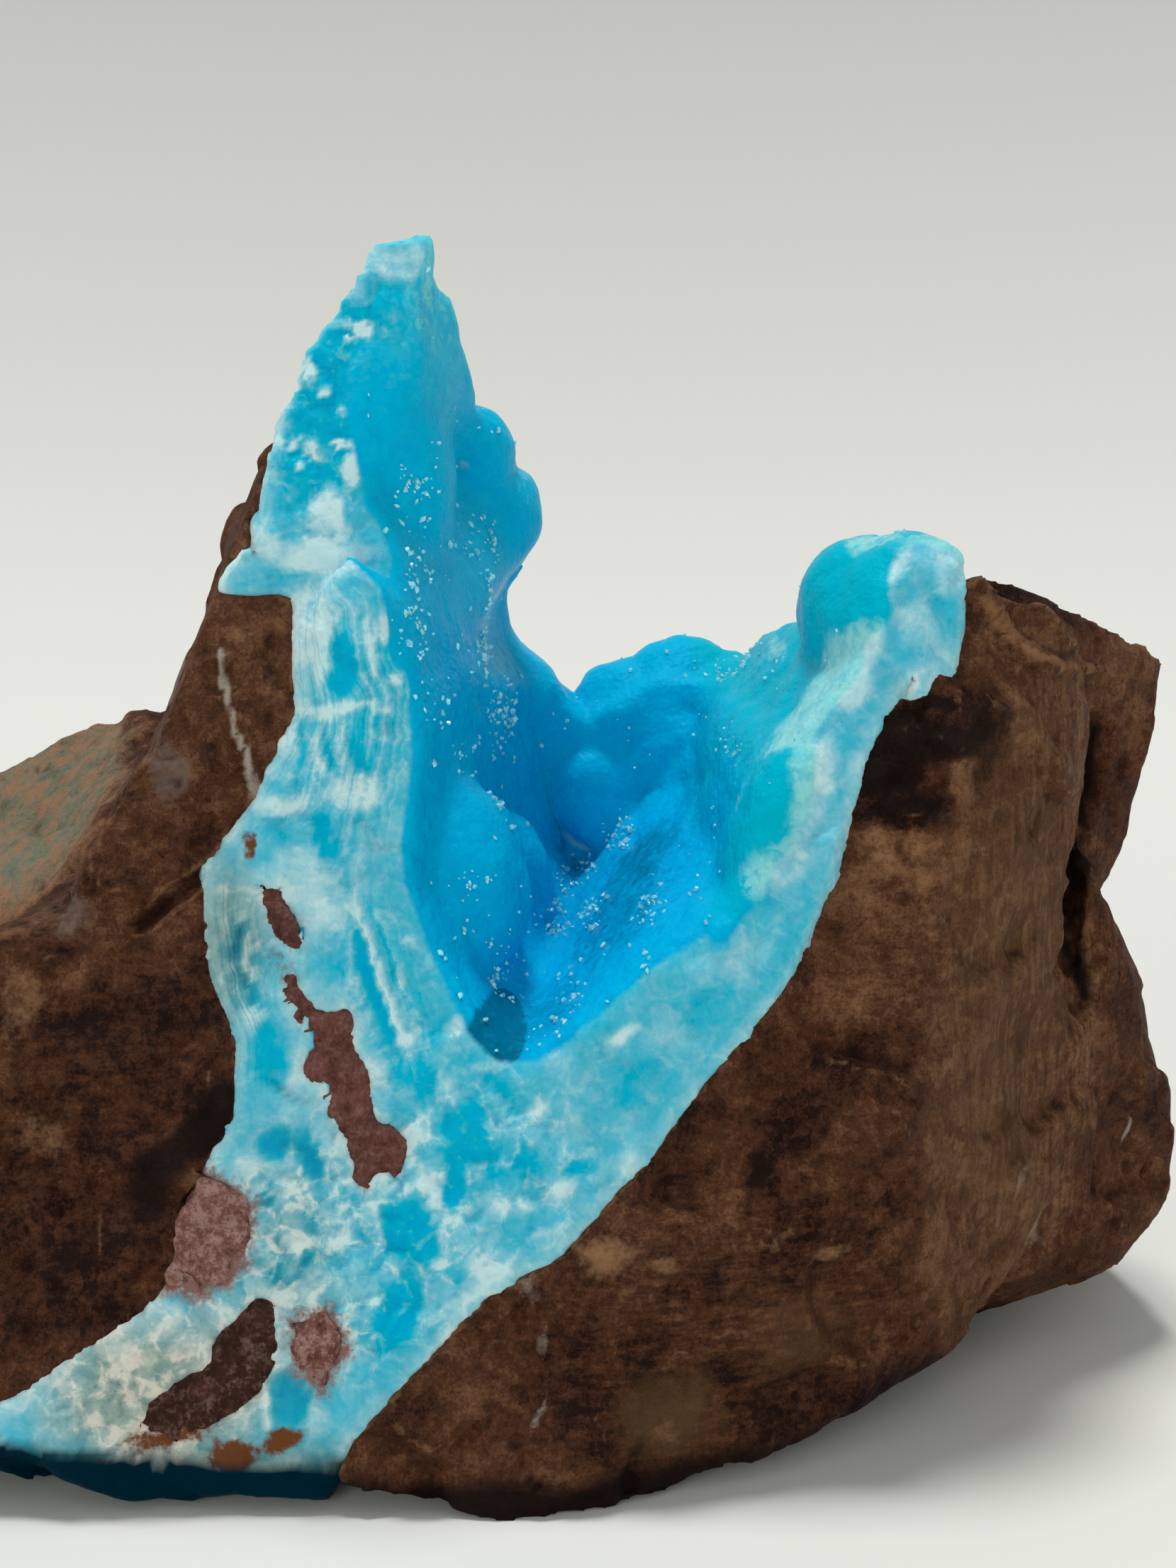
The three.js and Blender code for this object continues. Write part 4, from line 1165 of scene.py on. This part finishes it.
RIGHT_ROCK_MARKS = {
    "tone": [
        (24, -20, 33, 4, 6, -20, 0.66),
        (33.5, -14, 24, 6.5, 22, 0, 0.62),
        (27.5, -17, 44.0, 4.6, 3.4, 0, 0.38),
        (25.0, -18, 41.5, 4.4, 3.0, 0, 0.34),
        # The next four, the darkest, are painted shade in the recess below the knob.
        (27.0, -17.5, 45.2, 4.6, 1.2, 12, 0.12),
        (28.4, -17.5, 43.2, 3.4, 0.9, -6, 0.1),
        (24.2, -18.5, 42.4, 2.2, 1.3, 0, 0.06),
        (24.6, -18.5, 39.6, 3.6, 0.9, 8, 0.14),
        (33, -13, 46.5, 4.5, 4.5, -20, 0.66),
        (29.4, -16, 44.2, 2.4, 2.4, 0, 0.26),
        (26, -19, 37.6, 4.0, 1.3, -8, 0.85),
        (29.2, -17, 41.0, 0.7, 2.2, 0, 0.8),
        (16, -26, 14, 9, 6, 20, 0.52),
        (19, -25, 22.0, 5, 1.6, 48, 0.3),
        (12, -28, 5, 9, 3.4, 0, 0.4),
        (28.5, -17, 15.5, 1.3, 10, 0, 0.68),
        (17.3, -23, 13.8, 6, 3.0, 0, 0.36),
        (24.5, -14, 2.8, 4.5, 3.2, 0, 0.24),
        (41, -2, 46, 6, 7, 0, 0.62),
        (36, 3, 52.5, 9, 3.6, -24, 0.26),
    ],
    "tan": [
        (23.5, -17, 7.2, 4.5, 2.4, 0, 0.42),
        (7.5, -27.5, 14.5, 2.5, 1.5, 0, 0.75),
        (10.5, -28, 14, 1.3, 0.8, 0, 0.7),
        (21, -24.5, 13.5, 2.6, 0.9, 0, 0.6),
        (17, -26, 15.5, 2.5, 0.8, 0, 0.55),
        (10.5, -29, 4, 1.7, 1.3, 0, 0.5),
        (39, -6.5, 25.5, 0.9, 2.3, 0, 0.45),
        (27, -19, 38, 2.6, 1.1, 0, 0.35),
    ],
    "pale": [
        (3.5, -29, 9.5, 0.6, 1.5, 0, 0.6),
        (3, -30, 6, 0.4, 1.3, 0, 0.6),
        (3, -28, 13, 0.8, 1.7, 0, 0.5),
        (30.5, -17, 37, 0.9, 0.9, 0, 0.45),
        (32, -15.5, 33.5, 1.3, 0.7, 0, 0.4),
        (42.5, -4, 14.5, 0.4, 1.0, 0, 0.75),
        (34, -13.5, 15, 0.7, 0.9, 0, 0.5),
        (35.5, -10, 9.5, 0.4, 2.1, 0, 0.6),
        (30.5, -16.5, 10, 0.5, 0.7, 0, 0.5),
    ],
    "upright": [(35, -10, 28, 8, 24, 0, 1.0)],
    "level": [(14, -27, 10, 14, 10, 20, 0.8), (26, -21, 32, 5, 9, 0, 0.5)],
    "olive": [(33, -14, 28, 5.5, 20, 0, 0.35), (11, -29, 5, 3.5, 3, 0, 0.6), (19, -26, 9, 4, 3, 0, 0.4)],
    "pitted": [(25, -18, 42, 7, 8, 30, 1.0)],
    # Painted shade in the recess below the knob.
    "dip": [(26, -18.5, 40.5, 2.4, 0.6, 20, 0.6), (28.5, -17.5, 44, 2.2, 0.9, 10, 0.6)],
}
RIGHT_ROCK_LINES = {
    # A cleft darkened with painted shade.
    "dip": (
        [
            (39.8, -0.3, 41.5), (39.6, -0.2, 38), (39.2, -0.5, 35.6), (38.3, -4.5, 34), (38.1, -5.5, 31.5),
            (37.6, -6.5, 28), (38.8, -7.4, 24.8),
        ],
        1.0,
    ),
    "worn": (
        [(30.5, -13.3, 52.1), (32.2, -13, 49.9), (34, -12.6, 48.3), (36, -10.5, 47.5), (39.4, -1, 45.6)],
        0.42,
    ),
}
ROCK_MARK_NAMES = "tone lilac tan pale moss olive upright level pitted dip worn".split()


# How far each kind of line stands out.
LINE_HEIGHTS = {"dip": -0.9, "worn": 0.5, "pale": 0.1}


def make_rock(node, slot, look, marks, lines, base, seed):
    """A block of wall rock, in place of its solid. Its base is its tone, from 0 for dark to 1 for light."""
    piece = fine_copy(node, node.replace("_wall", ""), look.fineness)
    surface = Surface(piece)
    surface.smooth(1, share=0.3)
    near = surface.press_into(tree_of("hemimorphite_crust"), reach=1.4, depth=0.4)
    surface.press_into(tree_of("pink_clast"), reach=1.2, depth=0.5)
    draw_aside(surface, ROCKS_DRAWN_ASIDE)
    p = surface.points
    wavering = stirred(stirred(p, 2.2, 0.8, seed + 40), 0.8, 0.4, seed + 45)
    pitted = laid_over(p, np.zeros(len(p)), marks.get("pitted", []), edge=0.4)
    height = chips(p, 9, seed, tilt=0.07, sharp=60) + chips(p, 3, seed + 7, tilt=0.09, sharp=60)
    height += 0.12 * rugged(p, 4, seed + 11) + (0.09 + 0.35 * pitted) * rugged(p, 1.5, seed + 17)
    height *= 1 - near
    bent = stirred(p, 1.5, 0.3, seed)
    cuts = {name: line_near(bent, path, 1.6 * wide) for name, (path, wide) in lines.items()}
    height += sum(cut * LINE_HEIGHTS[name] for name, cut in cuts.items())
    surface.raise_by(height)
    surface.hold_within(*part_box(node))
    relief = surface.relief(4)
    kept = dict.fromkeys(ROCK_MARK_NAMES, np.zeros(len(p)))
    kept["tone"] = np.full(len(p), base)
    # Painted shade: darker in dips and at the foot, where shade falls.
    low = ramp(p[:, 2] + 0.5 * swell(p, 2.5, 95), 2.8, 1.4)
    kept["dip"] = 0.6 * ramp(relief, 0.03, 0.14) + 0.95 * low
    kept["worn"] = ramp(-relief, 0.03, 0.14) * 0.7
    for name in ROCK_MARK_NAMES:
        edge = 0.8 if name in ("tone", "dip") else 0.35
        kept[name] = laid_over(wavering, kept[name], marks.get(name, []), reach=6, edge=edge)
    for name, (path, wide) in lines.items():
        kept[name] = np.maximum(kept[name], line_near(stirred(p, 1.8, 0.5, seed), path, wide))
    for name, values in kept.items():
        surface.mark(name, values)
    piece.data.materials.append(rock_finish(slot, look))
    settle(piece, slot, node)
    return piece


def make_clast(node, slot, fineness, finish, ragged, rosy, seed):
    """A bit of rock frozen into the growth, in place of its solid."""
    piece = fine_copy(node, node.replace("_clast", "_bit"), fineness)
    surface = Surface(piece)
    surface.smooth(3, share=0.4)
    surface.raise_by(0.15 + ragged * rugged(surface.points, 1.2, seed))
    surface.hold_within(*CAD_BOX)
    surface.mark("rosy", np.clip(rosy + 0.5 * rugged(surface.points, 1.5, seed + 50), 0, 1))
    piece.data.materials.append(finish)
    settle(piece, slot, node)
    return piece


# ---- The stage ---------------------------------------------------------------------------------------

# The camera looks at a point of the front face from this far, above the level by so many degrees.
VIEW_POINT = (6.12, -8.2, 39.4)
VIEW_DISTANCE = 190.0
VIEW_RISE = 12.0
SENSOR = 36.0

# The floor is flat to this radius and then rises in an arc of this radius and so many degrees.
FLOOR_FLAT = 350.0
FLOOR_BEND = 500.0
FLOOR_RISE = 75.0


def make_camera(lens):
    """The camera, which looks at the specimen from the front."""
    data = bpy.data.cameras.new("view")
    data.sensor_fit = "VERTICAL"
    data.sensor_height = SENSOR
    data.lens = lens
    data.clip_start = 1 * MM
    data.clip_end = 20.0
    camera = linked("view", data)
    rise = math.radians(VIEW_RISE)
    back = Vector((0, -math.cos(rise), math.sin(rise))) * VIEW_DISTANCE
    camera.location = (Vector(VIEW_POINT) + back) * MM
    camera.rotation_euler = (math.pi / 2 - rise, 0, 0)
    bpy.context.scene.camera = camera


def make_floor(look):
    """A pale floor that rises all round in one curve, with painted shade darkening it towards the back."""
    bm = bmesh.new()
    profile = [(0.0, 0.0), (FLOOR_FLAT * MM, 0.0)]
    for angle in np.radians(np.linspace(0, FLOOR_RISE, 13))[1:]:
        out = FLOOR_FLAT + FLOOR_BEND * math.sin(angle)
        profile.append((out * MM, FLOOR_BEND * (1 - math.cos(angle)) * MM))
    points = [bm.verts.new((x, 0, z)) for x, z in profile]
    edges = [bm.edges.new(pair) for pair in itertools.pairwise(points)]
    whole = {"axis": (0, 0, 1), "angle": 2 * math.pi, "steps": 96, "use_merge": True}
    bmesh.ops.spin(bm, geom=points + edges, cent=(0, 0, 0), **whole)
    bmesh.ops.remove_doubles(bm, verts=bm.verts, dist=1e-6)
    bmesh.ops.recalc_face_normals(bm, faces=bm.faces)
    if next(iter(bm.faces)).normal.z < 0:
        bmesh.ops.reverse_faces(bm, faces=bm.faces)
    mesh = mesh_of(bm, "floor")
    mesh.shade_smooth()
    floor = linked("floor", mesh)
    f = Finish("pale_paper")
    grain = f.noise(0.4)
    back = f.make("ShaderNodeSeparateXYZ", {0: f.place}).outputs[1]
    # Painted shade: the floor darkens towards the back, for the light falling off far from the specimen.
    paper = f.blend(f.between(back, 150, 750), look.paper, darker(look.paper, 0.24))
    rough = f.between(grain, 0.3, 0.7, 0.7, 0.8)
    mesh.materials.append(f.finished(paper, rough, grain, 0.02, reach=0.02))


def make_light(name, place, kind, strength, **settings):
    """A light at a place, aimed at the specimen."""
    data = bpy.data.lights.new(name, kind)
    data.energy = strength
    for key, value in settings.items():
        setattr(data, key, value)
    light = linked(name, data)
    light.location = Vector(place) * MM
    light.rotation_euler = (Vector((0, 0, 30)) - Vector(place)).to_track_quat("-Z", "Y").to_euler()


def make_stage(look):
    """The floor, the light all round, the two lights and the camera."""
    scene = bpy.context.scene
    scene.view_settings.view_transform = "Standard"
    world = bpy.data.worlds.new("room")
    scene.world = world
    world.use_nodes = True
    background = world.node_tree.nodes["Background"]
    background.inputs["Color"].default_value = (0.97, 0.98, 1.0, 1)
    background.inputs["Strength"].default_value = look.room
    make_floor(look)
    make_light("sky", (-30, 210, 900), "SUN", look.sky, angle=math.radians(14))
    make_light("front", (-220, -700, 190), "AREA", look.front, shape="DISK", size=0.4)
    make_camera(look.lens)


# ---- The add-on --------------------------------------------------------------------------------------


class SPECIMEN_OT_stage(bpy.types.Operator):
    """Sets the floor, the light and the camera"""

    bl_idname = "specimen.stage"
    bl_label = "Set the stage"

    def execute(self, context):
        make_stage(context.scene.specimen_stage)
        return {"FINISHED"}


class SPECIMEN_OT_crust(bpy.types.Operator):
    """Makes the blue growth"""

    bl_idname = "specimen.crust"
    bl_label = "Make the growth"

    def execute(self, context):
        make_crust(context.scene.specimen_crust)
        return {"FINISHED"}


class SPECIMEN_OT_crystals(bpy.types.Operator):
    """Sets the tiny crystals in the open growth"""

    bl_idname = "specimen.crystals"
    bl_label = "Set the crystals"

    def execute(self, context):
        make_crystals(context.scene.specimen_crystals, context.scene.specimen_crust)
        return {"FINISHED"}


class SPECIMEN_OT_rocks(bpy.types.Operator):
    """Makes the two wall rocks"""

    bl_idname = "specimen.rocks"
    bl_label = "Make the wall rocks"

    def execute(self, context):
        look = context.scene.specimen_rocks
        left, right = (LEFT_ROCK_MARKS, LEFT_ROCK_LINES), (RIGHT_ROCK_MARKS, RIGHT_ROCK_LINES)
        make_rock("left_wall_rock", "left_rock", look, *left, base=0.42, seed=100)
        make_rock("right_wall_rock", "right_rock", look, *right, base=0.47, seed=200)
        return {"FINISHED"}


class SPECIMEN_OT_clasts(bpy.types.Operator):
    """Makes the bits of rock that are frozen into the growth"""

    bl_idname = "specimen.clasts"
    bl_label = "Make the bits of rock"

    def execute(self, context):
        look = context.scene.specimen_clasts
        rosier = mixed(look.brown, look.pink, 0.75)
        paler = mixed(look.pink, look.grain, 0.3)
        finishes = {
            "brown_clast": clast_finish("brown_clast", look, look.brown, rosier, grains=0.1),
            "pink_clast": clast_finish("pink_clast", look, look.pink, paler, grains=0.8),
        }
        for seed, (node, (slot, ragged, rosy)) in enumerate(CLASTS.items(), 300):
            make_clast(node, slot, look.fineness, finishes[slot], ragged, rosy, seed)
        return {"FINISHED"}


STEPS = (SPECIMEN_OT_stage, SPECIMEN_OT_crust, SPECIMEN_OT_crystals, SPECIMEN_OT_rocks, SPECIMEN_OT_clasts)
SETTINGS = {
    "specimen_stage": StageSettings,
    "specimen_crust": CrustSettings,
    "specimen_crystals": CrystalSettings,
    "specimen_rocks": RockSettings,
    "specimen_clasts": ClastSettings,
}


class SPECIMEN_PT_build(bpy.types.Panel):
    """Lists the steps that build the specimen, each with its settings"""

    bl_idname = "SPECIMEN_PT_build"
    bl_label = "Hemimorphite specimen"
    bl_space_type = "VIEW_3D"
    bl_region_type = "UI"
    bl_category = "Specimen"

    def draw(self, context):
        for step, (holder, settings) in zip(STEPS, SETTINGS.items(), strict=True):
            box = self.layout.box()
            box.operator(step.bl_idname)
            for name in settings.__annotations__:
                box.prop(getattr(context.scene, holder), name)


CLASSES = (*SETTINGS.values(), *STEPS, SPECIMEN_PT_build)


def register():
    for cls in CLASSES:
        bpy.utils.register_class(cls)
    for holder, settings in SETTINGS.items():
        setattr(bpy.types.Scene, holder, PointerProperty(type=settings))


def unregister():
    for holder in SETTINGS:
        delattr(bpy.types.Scene, holder)
    for cls in reversed(CLASSES):
        bpy.utils.unregister_class(cls)


def main():
    """Builds the specimen."""
    register()
    bpy.ops.specimen.stage()
    bpy.ops.specimen.crust()
    bpy.ops.specimen.crystals()
    bpy.ops.specimen.rocks()
    bpy.ops.specimen.clasts()


if __name__ == "__main__":
    main()
